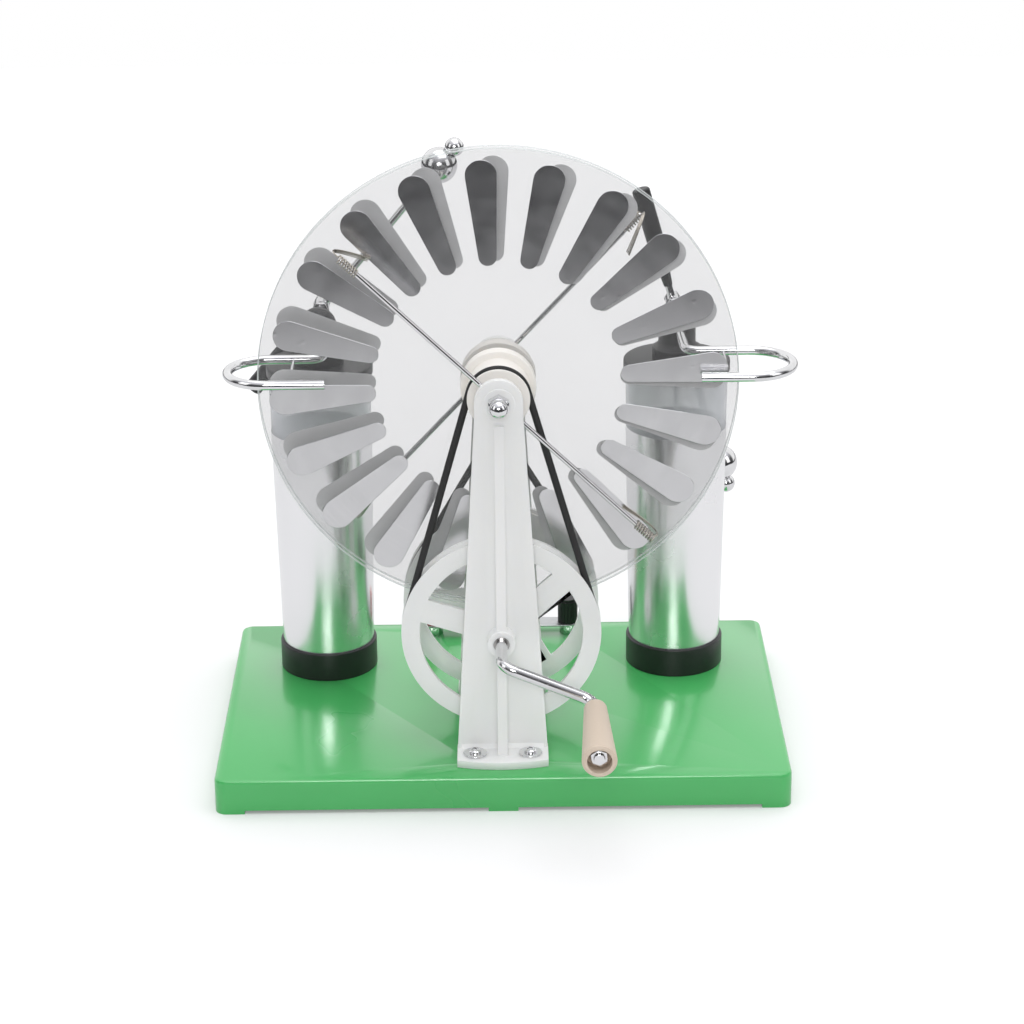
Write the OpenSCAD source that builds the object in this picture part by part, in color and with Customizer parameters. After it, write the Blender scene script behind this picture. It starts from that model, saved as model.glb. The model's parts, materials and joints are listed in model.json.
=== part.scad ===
// Hand-cranked influence machine: two clear discs that turn against each other
// between two uprights, with a pair of storage jars behind them.
// X runs left to right, Y runs away from the crank, Z runs up. Sizes in millimetres.

/* [Base] */
// Width of the base, left to right
base_w = 290; // [270:1:340]
// Depth of the base, front to back
base_d = 195; // [190:1:240]
// Height of the base with its feet
base_h = 18.5; // [16:0.5:24]
// Height of the feet under the skirt
foot_h = 2; // [1:0.5:3]
// Thickness of the top plate of the base
base_plate_t = 3; // [2:0.5:5]
// Thickness of the skirt
base_wall = 2.5; // [2:0.5:4]
// Radius of the upright corners of the base
base_corner_r = 6; // [4:1:12]
// Rounding of the top edge of the base
base_edge_r = 1.5; // [0.5:0.5:2.5]

/* [Drive line] */
// Height of the disc axle above the table
axle_z = 206.5; // [206:0.5:215]
// Height of the crank shaft above the table
shaft_z = 82.5; // [75:0.5:83.5]
// Diameter of the fixed disc axle
axle_d = 6; // [5:0.5:7]
// Diameter of the crank shaft
shaft_d = 6; // [5:0.5:7]
// Radial clearance of a running fit
run_gap = 0.05; // [0.02:0.01:0.1]
// Place of the plane between the two discs, front to back
mid_y = -34.5; // [-38:0.5:-33]

/* [Discs] */
// Diameter of a disc
disc_d = 239; // [226:1:240]
// Thickness of a disc
disc_t = 2; // [1.5:0.5:2.5]
// Air gap between the discs
disc_gap = 3; // [2.5:0.5:4]
// Number of foil sectors on a disc
sector_count = 20; // [12:1:20]
// Bare rim of the disc outside the sectors
sector_rim_gap = 5.5; // [3:0.5:12]
// Radius from the axle to the middle of a sector's round inner end
sector_in_r = 65.3; // [50:0.1:72]
// Width of a sector at its outer end
sector_out_w = 15.6; // [10:0.2:18]
// Width of a sector at its inner end
sector_in_w = 9; // [6:0.2:11]
// Thickness of the foil
foil_t = 0.3; // [0.2:0.05:0.5]
// Turn of the front sectors at rest, in degrees
front_sector_turn = 3.9; // [0:0.1:18]
// Turn of the rear sectors at rest, in degrees
rear_sector_turn = 0.8; // [0:0.1:18]

/* [Hubs and pulleys] */
// Diameter of the round belts
belt_d = 3.6; // [3:0.2:5]
// Gap between a belt and its groove
belt_gap = 0.4; // [0.3:0.1:0.6]
// Radius of the belt's centreline on a hub
small_belt_r = 14.6; // [13:0.1:15.5]
// Radius of the belt's centreline on a drive wheel
big_belt_r = 48.3; // [42:0.1:50]
// Distance from the middle plane to the ends of the hubs and to the front drive wheel's face
pulley_face = 28.8; // [27:0.2:32]
// Distance from the middle plane to the rear belt
rear_belt_face = 17.5; // [15.5:0.5:24]
// Thickness of a pulley's outer lip
lip_t = 1.8; // [1.2:0.2:2.2]
// How far the hub lip stands above the belt's centreline
hub_lip = 0.9; // [0.5:0.1:1.5]
// How far the drive wheel's rim stands above the belt's centreline
wheel_lip = 2; // [1:0.2:3]
// Radius of the hub flange that carries a disc
hub_flange_r = 18.8; // [17:0.2:22]
// Thickness of the hub flange
hub_flange_t = 7; // [3:0.5:9]
// Radius of the spigot through a disc
spigot_r = 8; // [6:0.5:10]
// Radius of the ring that clamps a disc to its hub
clamp_ring_r = 13; // [11:0.5:17]
// Width of a drive wheel's rim
wheel_w = 9; // [8.5:0.5:14]
// Inner radius of the drive wheel's front face
wheel_inner_r = 41; // [34:0.5:42]
// Thickness of the drive wheel's front face and spokes
wheel_face_t = 2.6; // [2:0.2:3.6]
// Wall under the belt groove of a drive wheel
wheel_wall = 1.6; // [1.2:0.2:2.4]
// Number of spokes
spoke_count = 3; // [3:1:6]
// Width of a spoke
spoke_w = 12.5; // [8:0.5:14]
// Direction of the front wheel's first spoke at rest, in degrees above the right
spoke_turn = 42; // [0:1:120]
// Direction of the rear wheel's first spoke at rest, in degrees above the right
rear_spoke_turn = 60; // [0:1:120]
// Radius of the drive wheel's hub
wheel_hub_r = 10; // [8:0.5:12]

/* [Uprights] */
// Width of an upright at its foot
upright_foot_w = 46; // [40:1:60]
// Width of an upright at its head
upright_head_w = 24; // [20:1:30]
// Thickness of an upright's plate
upright_t = 3.5; // [3:0.5:5]
// Depth of the foot in front of the plate
upright_foot_d = 15; // [14:0.5:20]
// Bulge of the foot's front edge
upright_foot_bulge = 3.5; // [1:0.5:5]
// Thickness of the foot
upright_foot_t = 4; // [3:0.5:6]
// Width of the middle rib
rib_w = 5; // [4:0.5:7]
// Depth of the rib where it meets the foot
rib_low_d = 10; // [6:0.5:12]
// Depth of the rib at its upper end
rib_high_d = 1.6; // [1:0.2:4]
// Distance between the two foot screws
foot_screw_gap = 28; // [24:1:34]
// Distance from the plate to the foot screws
foot_screw_y = 8; // [7:0.5:9]
// Outer diameter of the boss round the crank shaft
shaft_boss_d = 14; // [11:0.5:15]
// How far that boss stands out of the upright's middle rib
shaft_boss_proud = 0.6; // [0.3:0.1:2]
// Outer diameter of a shaft bush
bush_d = 8; // [7:0.5:9]

/* [Crank] */
// Radius of the crank from shaft to grip
crank_r = 49.5; // [40:0.5:49.5]
// Fall of the crank arm to the right at rest, in degrees
crank_turn = 23; // [0:1:60]
// Distance from the front face of the plate to the crank arm
crank_reach = 34; // [31:1:45]
// Radius of the crank's bends
crank_bend_r = 7; // [6:0.5:10]
// Length of the grip
grip_l = 59; // [50:1:75]
// Diameter of the grip at its free end
grip_out_d = 17; // [15:0.5:20]
// Diameter of the grip next to the arm
grip_in_d = 11.5; // [10:0.5:14]
// Diameter of the pin that carries the grip
grip_pin_d = 5; // [4:0.5:5.5]

/* [Neutralising rods] */
// Diameter of a neutralising rod
rod_d = 2.5; // [2:0.1:2.6]
// Distance from the rim of the disc back to a rod's end
rod_short = 15.5; // [14:0.5:30]
// Radius of the collar on the axle
collar_r = 7; // [6:0.5:10]
// Direction of the front rod at rest, in degrees above the right
front_rod_turn = 136; // [130:1:140]
// Direction of the rear rod at rest, in degrees above the right
rear_rod_turn = 46.8; // [40:0.2:50]
// Diameter of the brush wire
brush_wire_d = 0.8; // [0.6:0.1:1]
// Number of turns of brush wire on a rod's end
brush_turns = 8; // [5:1:12]
// Gap between two turns of brush wire
brush_turn_gap = 0.7; // [0.45:0.05:1]

/* [Storage jars] */
// Distance of each jar from the middle, left to right
jar_x = 93.8; // [88:0.2:105]
// Place of the jars, front to back
jar_y = 47; // [40:1:47]
// Outer radius of a jar at the bottom
jar_low_r = 24; // [20:0.5:26]
// Outer radius of a jar at the top
jar_high_r = 27; // [22:0.2:27]
// Height of the top of a jar's wall above the base
jar_h = 169; // [150:1:175]
// Wall thickness of a jar
jar_wall = 1.5; // [1:0.1:2.5]
// Height of the foil band above the base
foil_h = 135.5; // [100:0.5:150]
// Radius of the bottom cap
low_cap_r = 26; // [25:0.5:30]
// Height of the bottom cap
low_cap_h = 15.5; // [10:0.5:25]
// Thickness of the bottom cap's floor
low_cap_floor = 3; // [2:0.5:5]
// Radius of the lid
lid_r = 28; // [27.8:0.2:28.6]
// Thickness of the lid's top
lid_t = 3; // [2:0.5:5]
// Length of the lid's skirt below its top
lid_skirt = 2.5; // [1.5:0.5:6]
// Radius of the turret's foot
turret_foot_r = 12.9; // [11:0.2:16]
// Height of the turret's foot
turret_foot_h = 7; // [4:0.5:10]
// Radius of the turret's round head
turret_head_r = 9.75; // [8:0.25:11]

/* [Collectors] */
// Diameter of the collector rod
coll_d = 4.8; // [4:0.2:5]
// Height of the collector rod above the lid
coll_rise = 20; // [17:0.5:24]
// Lean of the left collector towards its jar's outside, in degrees
left_lean = -8; // [-10:0.5:5]
// Lean of the right collector towards its jar's outside, in degrees
right_lean = 2; // [-5:0.5:10]
// Place of the left collector's rear arm, front to back
left_rear_y = -8.5; // [-12:0.5:-2]
// Place of the right collector's rear arm, front to back
right_rear_y = -2.5; // [-10:0.5:-2]
// Distance between the two arms of the left collector
left_arms = 40; // [36:1:46]
// Distance between the two arms of the right collector
right_arms = 42; // [40:1:48]
// Reach of the left collector past the rim of the discs
left_past_rim = 17.8; // [14:0.2:40]
// Reach of the right collector past the rim of the discs
right_past_rim = 30.4; // [14:0.2:40]
// Distance from the rim back to the end of the left front arm
left_end_back = 34; // [26:1:45]
// Distance from the rim back to the end of the right front arm
right_end_back = 19; // [12:1:30]
// Distances from the rim back to the left points, rear and front
left_points_back = [16.5, 22.5]; // [3:0.5:24]
// Distances from the rim back to the right points, rear and front
right_points_back = [5.5, 4]; // [3:0.5:11]
// Thickness of a collecting point
coll_point_d = 1.6; // [1.2:0.1:2]
// Air gap from a collecting point to a disc's foil
coll_point_gap = 2; // [1:0.5:4]

/* [Discharge rods] */
// Place of the discharge rods, front to back
spark_y = 80.5; // [80.5:0.5:88]
// Diameter of a discharge rod
spark_rod_d = 4; // [3:0.5:4.5]
// Diameter of the large ball
big_ball_d = 19; // [15:0.5:19]
// Diameter of the small ball
small_ball_d = 10; // [8:0.5:12]
// Distance from the pivot to the large ball
big_ball_r = 100; // [90:1:105]
// Distance between the two balls' centres
ball_step = 12.5; // [10:0.5:14]
// Diameter of the insulating handle
handle_d = 9.5; // [8:0.5:10.5]
// Distance from the pivot to the handle's shoulder
handle_start = 13; // [10:1:20]
// Distance from the pivot to the handle's end
handle_end = 60; // [45:1:75]
// Diameter of the pivot eye
eye_d = 8.5; // [7.5:0.5:12]
// Width of the pivot eye
eye_w = 8; // [6:0.5:10]
// Direction of the left ball at rest, in degrees above the right
left_spark_turn = 50; // [42:1:90]
// Direction of the right ball at rest, in degrees above the right
right_spark_turn = -74; // [-78:1:60]
// How far the right rod is pushed through towards its handle
right_spark_slide = 5; // [0:0.5:9]

/* [Terminals] */
// Distance of each terminal from the middle
post_x = 37; // [30:1:45]
// Distance of the terminals from the rear edge of the base
post_edge = 14.5; // [12:0.5:22]
// Diameter of a terminal's knob
knob_d = 11; // [9:0.5:14]
// Height of a terminal's knob
knob_h = 14; // [10:0.5:18]
// Width of the link strip
strip_w = 12; // [9:0.5:14]
// Thickness of the link strip
strip_t = 0.8; // [0.5:0.1:1.2]

/* [Hidden] */

$fn = 72;
// A hair of overlap for cuts that run past a face
cut = 1;
// Clearance between pieces that seat in each other
seat = 0.05;

// Heights that several pieces share
plate_under_z = base_h - base_plate_t;
rod_z = base_h + jar_h + lid_t + coll_rise;
jar_floor_z = base_h + low_cap_floor;

// Distances from the middle plane, outwards
disc_in = disc_gap / 2;
disc_out = disc_in + disc_t;
belt_face = pulley_face - lip_t - belt_d / 2 - belt_gap;
collar_in = pulley_face + 0.3;
collar_out = collar_in + rod_d + 0.1;
plate_in = collar_out + 0.3;
plate_out = plate_in + upright_t;
rod_face = (collar_in + collar_out) / 2;

// The uprights' middle rib gets less deep upwards, and the crank shaft's boss stands out of it
foot_top = base_h + upright_foot_t;
rib_foot_z = foot_top + 1;
rib_top_z = axle_z - 11;
rib_share = (rib_top_z - shaft_z + shaft_boss_d / 2) / (rib_top_z - rib_foot_z);
shaft_boss_l = rib_high_d + (rib_low_d - rib_high_d) * rib_share + shaft_boss_proud;

// Place of the terminals, front to back
post_y = base_d / 2 - post_edge;

// Distances from the disc axle that follow the size of the discs
disc_r = disc_d / 2;
sector_out_r = disc_r - sector_rim_gap - sector_out_w / 2;
rod_reach = disc_r - rod_short;

// Places on the drive line
crank_y = mid_y - plate_out - crank_reach;
hub_end = disc_in - 1.2;

// The belts' straight runs leave the wheels at these angles
centre_gap = axle_z - shaft_z;
open_belt_turn = asin((big_belt_r - small_belt_r) / centre_gap);
cross_belt_turn = asin((big_belt_r + small_belt_r) / centre_gap);

// Colours of the finished pieces
green_plastic = [0.33, 0.75, 0.43];
milk_plastic = [0.90, 0.92, 0.88];
black_plastic = [0.08, 0.08, 0.09];
steel = [0.75, 0.75, 0.77];
clear_sheet = [0.85, 0.90, 0.90, 0.35];
foil_metal = [0.62, 0.62, 0.63];
beige_plastic = [0.85, 0.74, 0.60];
rubber = [0.05, 0.05, 0.05];
bush_metal = [0.58, 0.57, 0.55];

// A round bar along Y from y0 to y1
module bar_y(r, y0, y1) {
    translate([0, y0, 0]) rotate([-90, 0, 0]) cylinder(r = r, h = y1 - y0);
}

// A profile of radius and depth, spun about the Y axis
module spun_y() {
    rotate([-90, 0, 0]) rotate_extrude() children();
}

// Moves to the disc axle, in the middle plane
module at_axle() translate([0, mid_y, axle_z]) children();

// Moves to the crank shaft, in the middle plane
module at_shaft() translate([0, mid_y, shaft_z]) children();

// Turns a front piece round to the rear side of the middle plane
module to_rear() mirror([0, 1, 0]) children();

// A round bar between two points
module bar(p, q, r) {
    d = q - p;
    l = norm(d);
    translate(p)
        rotate([0, acos(d[2] / l), atan2(d[1], d[0])])
            cylinder(r = r, h = l);
}

// A straight length of bar along Z, and what follows on from its end
module straight(l, r) {
    cylinder(r = r, h = l);
    translate([0, 0, l]) children();
}

// A bend of the bar towards +X, or away from it for a negative angle, and what follows on
module bend(bend_r, angle, r) {
    flip = angle < 0 ? 180 : 0;
    a = abs(angle);
    if (a < 0.1) children();
    else rotate([0, 0, flip]) {
        translate([bend_r, 0, 0]) rotate([90, 0, 180])
            rotate_extrude(angle = a) translate([bend_r, 0]) circle(r = r, $fn = 36);
        translate([bend_r, 0, 0]) rotate([0, a, 0]) translate([-bend_r, 0, 0])
            rotate([0, 0, -flip]) children();
    }
}

// A hexagon by its width across the flats
module hexagon(flats) circle(d = flats / cos(30), $fn = 6);

// Base

foot_pad = 15;
centre_pad_r = 9;
rib_t = 2;
rib_low_z = 7;
foot_boss_r = 5.5;
screw_r = 1.75;
upright_screw_y = plate_out + foot_screw_y;

// The outline of the base, drawn inwards by a margin
module base_outline(margin) {
    r = base_corner_r - margin;
    w = base_w - 2 * margin;
    d = base_d - 2 * margin;
    square([w - 2 * r, d], center = true);
    square([w, d - 2 * r], center = true);
    for (x = [-1, 1], y = [-1, 1])
        translate([x * (w / 2 - r), y * (d / 2 - r)]) circle(r = r);
}

// The rounded block that the base is cut from
module base_block() {
    hull() {
        for (m = [0, base_edge_r / 3, base_edge_r]) {
            drop = m == 0 ? base_edge_r : (m < base_edge_r ? base_edge_r / 3 : 0);
            for (x = [-1, 1], y = [-1, 1])
                translate([x * (base_w / 2 - base_corner_r), y * (base_d / 2 - base_corner_r), foot_h])
                    cylinder(r = base_corner_r - m, h = base_h - foot_h - drop, $fn = 32);
        }
    }
}

// Where the screws of both uprights stand
module at_upright_screws() {
    for (side = [-1, 1], x = [-1, 1])
        translate([x * foot_screw_gap / 2, mid_y + side * upright_screw_y, 0]) children();
}

module at_jars() for (x = [-1, 1]) translate([x * jar_x, jar_y, 0]) children();

module at_posts() for (x = [-1, 1]) translate([x * post_x, post_y, 0]) children();

module base() {
    color(green_plastic)
    difference() {
        union() {
            difference() {
                base_block();
                translate([0, 0, plate_under_z / 2])
                    cube([base_w - 2 * base_wall, base_d - 2 * base_wall, plate_under_z], center = true);
            }
            // ribs under the plate
            for (x = [-1, 0, 1])
                translate([x * base_w / 4 - rib_t / 2, -base_d / 2 + base_wall / 2, rib_low_z])
                    cube([rib_t, base_d - base_wall, plate_under_z - rib_low_z + seat]);
            translate([-base_w / 2 + base_wall / 2, -rib_t / 2, rib_low_z])
                cube([base_w - base_wall, rib_t, plate_under_z - rib_low_z + seat]);
            // feet at the corners and in the middle of each side
            intersection() {
                linear_extrude(plate_under_z + seat) base_outline(0);
                for (x = [-1, 0, 1], y = [-1, 0, 1])
                    if (abs(x) + abs(y) > 0)
                        translate([x * (base_w - foot_pad) / 2, y * (base_d - foot_pad) / 2, plate_under_z / 2])
                            cube([foot_pad, foot_pad, plate_under_z + 2 * seat], center = true);
            }
            cylinder(r = centre_pad_r, h = plate_under_z + seat);
            at_upright_screws() translate([0, 0, foot_h + 1])
                cylinder(r = foot_boss_r, h = plate_under_z - foot_h - 1 + seat);
        }
        at_upright_screws() translate([0, 0, -cut]) cylinder(r = screw_r + seat, h = base_h + 2 * cut);
        at_posts() translate([0, 0, -cut]) cylinder(r = stud_r + seat, h = base_h + 2 * cut);
    }
}

// Uprights

head_drop = 0.5;
head_r = upright_head_w / 2;
taper_top_z = axle_z - 7;
boss_back = plate_in - 1;

// One upright's plate, seen from the front
module upright_face() {
    translate([0, axle_z + head_drop]) circle(r = head_r);
    polygon([[-upright_foot_w / 2, base_h], [upright_foot_w / 2, base_h],
        [head_r, taper_top_z], [head_r, axle_z + head_drop],
        [-head_r, axle_z + head_drop], [-head_r, taper_top_z]]);
}

// The foot's outline, from the plate forwards, with a bowed front edge
module foot_outline() {
    half = upright_foot_w / 2;
    bow_r = (half * half + upright_foot_bulge * upright_foot_bulge) / (2 * upright_foot_bulge);
    translate([-half, -upright_foot_d]) square([upright_foot_w, upright_foot_d + upright_t]);
    intersection() {
        translate([0, -upright_foot_d - upright_foot_bulge + bow_r]) circle(r = bow_r, $fn = 180);
        translate([-half, -upright_foot_d - upright_foot_bulge])
            square([upright_foot_w, upright_foot_bulge + 1]);
    }
}

// An upright in front of the middle plane, with the plane at Y = 0
module upright() {
    difference() {
        union() {
            translate([0, -plate_in, 0]) rotate([90, 0, 0]) linear_extrude(upright_t) upright_face();
            translate([0, -plate_out, base_h]) linear_extrude(upright_foot_t) foot_outline();
            // middle rib, deeper towards the foot
            rotate([90, 0, 90])
                translate([0, 0, -rib_w / 2]) linear_extrude(rib_w)
                    polygon([[-plate_out + seat, foot_top - seat], [-plate_out - rib_low_d, foot_top - seat],
                        [-plate_out - rib_low_d, rib_foot_z], [-plate_out - rib_high_d, rib_top_z],
                        [-plate_out + seat, rib_top_z]]);
            // small fillet where the plate meets the foot
            rotate([90, 0, 90])
                translate([0, 0, -upright_foot_w / 2 + 2]) linear_extrude(upright_foot_w - 4)
                    polygon([[-plate_out + seat, foot_top - seat], [-plate_out - 2, foot_top - seat],
                        [-plate_out + seat, foot_top + 2]]);
            translate([0, 0, shaft_z]) bar_y(shaft_boss_d / 2, -plate_out - shaft_boss_l, -plate_in);
            translate([0, 0, axle_z]) bar_y(head_r - 4, -plate_out - 0.6, -plate_in);
        }
        translate([0, 0, axle_z]) bar_y(axle_d / 2 + seat, -plate_out - cut, -plate_in + cut);
        translate([0, 0, shaft_z])
            bar_y(bush_d / 2 + seat, -plate_out - shaft_boss_l - cut, -plate_in + cut);
        for (x = [-1, 1])
            translate([x * foot_screw_gap / 2, -upright_screw_y, base_h - cut])
                cylinder(r = screw_r + 0.35, h = upright_foot_t + 2 + 2 * cut);
    }
}

module front_upright() color(milk_plastic) translate([0, mid_y, 0]) upright();

module rear_upright() color(milk_plastic) translate([0, mid_y, 0]) to_rear() upright();

washer_t = 1;
washer_r = 5.9;
screw_head_r = 3.1;
screw_head_h = 2.3;

// A pan-head screw with a cross recess, its head's underside at Z = 0
module pan_screw(length, shank_r, head_r, head_h) {
    difference() {
        union() {
            translate([0, 0, -length]) cylinder(r = shank_r, h = length + seat);
            intersection() {
                cylinder(r = head_r, h = head_h);
                translate([0, 0, head_h - head_r * 1.45]) sphere(r = head_r * 1.45);
            }
        }
        for (a = [0, 90])
            rotate([0, 0, a + 20])
                translate([0, 0, head_h])
                    cube([head_r * 1.2, head_r * 0.28, head_h], center = true);
    }
}

module upright_screws() {
    color(steel) at_upright_screws()
        translate([0, 0, base_h + upright_foot_t + washer_t])
            pan_screw(upright_foot_t + base_h - foot_h - 1, screw_r, screw_head_r, screw_head_h);
}

module upright_washers() {
    color(steel) at_upright_screws()
        translate([0, 0, base_h + upright_foot_t])
            difference() {
                cylinder(r = washer_r, h = washer_t);
                translate([0, 0, -cut]) cylinder(r = screw_r + 0.2, h = washer_t + 2 * cut);
            }
}

// A bush through an upright, for the crank shaft
module shaft_bush() {
    translate([0, 0, shaft_z])
        difference() {
            bar_y(bush_d / 2, -plate_out - shaft_boss_l, -plate_in);
            bar_y(shaft_d / 2 + run_gap, -plate_out - shaft_boss_l - cut, -plate_in + cut);
        }
}

module front_shaft_bush() color(bush_metal) translate([0, mid_y, 0]) shaft_bush();

module rear_shaft_bush() color(bush_metal) translate([0, mid_y, 0]) to_rear() shaft_bush();

// Disc axle and its cap nuts

nut_seat = plate_out + 0.6;
cap_nut_flats = 10;
cap_nut_hex_h = 5;
cap_nut_h = 11;
cap_nut_bore = 8.5;

module disc_axle() {
    half = nut_seat + cap_nut_bore - 0.5;
    color(steel) at_axle() bar_y(axle_d / 2, -half, half);
}

// A domed nut, standing on the plane Z = 0
module cap_nut(flats, hex_h, height, bore_r, bore_h) {
    dome_r = flats / 2 - 0.3;
    difference() {
        union() {
            intersection() {
                linear_extrude(hex_h) hexagon(flats);
                translate([0, 0, hex_h - flats * 0.95]) sphere(r = flats * 1.02);
            }
            cylinder(r = dome_r, h = height - dome_r);
            translate([0, 0, height - dome_r]) sphere(r = dome_r);
        }
        translate([0, 0, -cut]) cylinder(r = bore_r, h = bore_h + cut);
    }
}

module axle_cap_nuts() {
    color(steel) at_axle()
        for (side = [0, 180])
            rotate([0, 0, side]) translate([0, -nut_seat, 0]) rotate([90, 0, 0]) rotate([0, 0, 30])
                cap_nut(cap_nut_flats, cap_nut_hex_h, cap_nut_h, axle_d / 2 + seat, cap_nut_bore);
}

// Hubs and discs, drawn for the front side

groove_r = belt_d / 2 + belt_gap;
hub_lip_r = small_belt_r + hub_lip;

// The cut that a belt runs in, as a profile of radius and depth
module groove_profile(belt_r, belt_at) {
    flare = 0.35;
    translate([belt_r, belt_at]) circle(r = groove_r);
    polygon([[belt_r, belt_at - groove_r], [belt_r + 6, belt_at - groove_r - 6 * flare],
        [belt_r + 6, belt_at + groove_r + 6 * flare], [belt_r, belt_at + groove_r]]);
}

// Lip, groove and neck, then the flange and the spigot through the disc
module hub(belt_at) {
    lip_face = belt_at + groove_r + lip_t;
    spun_y() difference() {
        union() {
            translate([0, -lip_face]) square([hub_lip_r, lip_face - disc_out - hub_flange_t + seat]);
            // a boss reaches on to the collar where the belt runs closer to the disc
            if (lip_face < pulley_face - seat)
                translate([0, -pulley_face]) square([spigot_r, pulley_face - lip_face + seat]);
            translate([0, -disc_out - hub_flange_t]) square([hub_flange_r, hub_flange_t]);
            translate([0, -disc_out - seat]) square([spigot_r, disc_out - hub_end + seat]);
        }
        translate([-cut, -pulley_face - cut]) square([axle_d / 2 + run_gap + cut, pulley_face + 2 * cut]);
        groove_profile(small_belt_r, -belt_at);
    }
}

module clamp_ring() {
    difference() {
        bar_y(clamp_ring_r, -disc_in, -hub_end);
        bar_y(spigot_r + seat, -disc_in - cut, -hub_end + cut);
    }
}

module disc() {
    difference() {
        bar_y(disc_d / 2, -disc_out, -disc_in);
        bar_y(spigot_r + seat, -disc_out - cut, -disc_in + cut);
    }
}

// One foil sector, pointing up, drawn in the plane of the disc
module sector_face() {
    big = sector_out_w / 2;
    small = sector_in_w / 2;
    lean = asin((big - small) / (sector_out_r - sector_in_r));
    // the straight sides start just inside the round ends
    a = [sector_out_r - big * sin(lean), big * cos(lean) * 0.985];
    b = [sector_in_r - small * sin(lean), small * cos(lean) * 0.985];
    translate([sector_out_r, 0]) circle(r = big, $fn = 48);
    translate([sector_in_r, 0]) circle(r = small, $fn = 48);
    polygon([a, b, [b[0], -b[1]], [a[0], -a[1]]]);
}

module sectors(turn) {
    for (i = [0 : sector_count - 1])
        rotate([0, -turn - i * 360 / sector_count, 0])
            translate([0, -disc_out, 0]) rotate([90, 0, 0])
                linear_extrude(foil_t) sector_face();
}

module front_disc() color(clear_sheet) at_axle() disc();
module front_sectors() color(foil_metal) at_axle() sectors(front_sector_turn);
module front_hub() color(milk_plastic) at_axle() hub(belt_face);
module front_clamp_ring() color(milk_plastic) at_axle() clamp_ring();
module rear_disc() color(clear_sheet) at_axle() to_rear() disc();
module rear_sectors() color(foil_metal) at_axle() to_rear() sectors(rear_sector_turn);
module rear_hub() color(milk_plastic) at_axle() to_rear() hub(rear_belt_face);
module rear_clamp_ring() color(milk_plastic) at_axle() to_rear() clamp_ring();

// Neutralising rods and their brushes

brush_coil_r = rod_d / 2 + brush_wire_d / 2 + 0.35;
brush_pitch = brush_wire_d + brush_turn_gap;
brush_start = rod_reach - (brush_turns - 1) * brush_pitch;

// A collar on the axle with a straight rod to each side, along X
module neutraliser() {
    difference() {
        union() {
            bar_y(collar_r, -collar_out, -collar_in);
            for (side = [-1, 1])
                translate([0, -rod_face, 0]) rotate([0, side * 90, 0]) {
                    cylinder(r = rod_d / 2, h = rod_reach);
                    translate([0, 0, rod_reach]) sphere(r = rod_d / 2);
                }
        }
        bar_y(axle_d / 2 + run_gap, -collar_out - cut, -collar_in + cut);
    }
}

// Points of the brush wire: turns round the rod's end, then a tail that bends to the disc
brush_rings = 8;
tail_steps = 8;
tail_drop = rod_face - disc_out - foil_t - 0.9;
brush_coil_end = rod_reach + brush_pitch;

function coil_point(k) =
    let (a = 360 * k / brush_rings)
    [brush_start + brush_pitch * k / brush_rings, -rod_face + brush_coil_r * cos(a), brush_coil_r * sin(a)];

// the tail bows outwards, then leans back towards the axle and to one side
tail_bow = 5;
tail_lean = 15;
tail_aside = 4;
function tail_point(t) =
    [brush_coil_end + tail_bow * sin(180 * t) - tail_lean * t * t,
        -rod_face + brush_coil_r + (tail_drop - brush_coil_r) * t,
        2 * sin(180 * t) - tail_aside * t * t];

brush_path = concat(
    [[brush_start - brush_pitch, -rod_face + brush_coil_r, -brush_wire_d]],
    [for (k = [0 : brush_turns * brush_rings]) coil_point(k)],
    [for (i = [1 : tail_steps]) tail_point(i / tail_steps)]);

// Least gap from each turn of wire to the next one, measured on the points
brush_gap = min([for (k = [0 : (brush_turns - 1) * brush_rings])
    norm(coil_point(k + brush_rings) - coil_point(k)) - brush_wire_d]);
echo(brush_least_gap_mm = brush_gap);

// A tube of six sides along a row of points
wire_sides = 6;
function unit(v) = v / norm(v);
function heading(path, i) =
    unit(path[min(i + 1, len(path) - 1)] - path[max(i - 1, 0)]);
function side_of(t, hint) = unit(hint - (hint * t) * t);
function carry(path, i, last) =
    i == len(path) ? []
    : let (s = side_of(heading(path, i), last)) concat([s], carry(path, i + 1, s));

module wire(path, r) {
    sides = carry(path, 0, [0, 0.3, 1]);
    n = len(path);
    points = [for (i = [0 : n - 1])
        let (t = heading(path, i), s = sides[i], u = cross(t, s))
        for (j = [0 : wire_sides - 1])
            path[i] + r * (cos(360 * j / wire_sides) * s + sin(360 * j / wire_sides) * u)];
    around = [for (i = [0 : n - 2], j = [0 : wire_sides - 1])
        let (a = i * wire_sides + j, b = i * wire_sides + (j + 1) % wire_sides)
        for (f = [[a, a + wire_sides, b], [b, a + wire_sides, b + wire_sides]]) f];
    ends = [
        for (j = [1 : wire_sides - 2])
            for (f = [[0, j, j + 1],
                [(n - 1) * wire_sides, (n - 1) * wire_sides + j + 1, (n - 1) * wire_sides + j]]) f];
    polyhedron(points = points, faces = concat(around, ends));
}

module brushes() {
    for (side = [0, 180])
        rotate([0, side, 0]) wire(brush_path, brush_wire_d / 2);
}

module front_neutraliser() color(steel) at_axle() rotate([0, -front_rod_turn, 0]) neutraliser();
module front_brushes() color(steel) at_axle() rotate([0, -front_rod_turn, 0]) brushes();
module rear_neutraliser() color(steel) at_axle() rotate([0, -rear_rod_turn, 0]) to_rear() neutraliser();
module rear_brushes() color(steel) at_axle() rotate([0, -rear_rod_turn, 0]) to_rear() brushes();

// Drive wheels, both with their faces to the front, drawn for the front one

wheel_r = big_belt_r + wheel_lip;
wheel_wall_r = big_belt_r - groove_r - wheel_wall;
wheel_back = pulley_face - wheel_w;
wheel_hub_back = wheel_back - 1.5;
grub_y = wheel_back + 2;
grub_r = 1.5;

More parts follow.
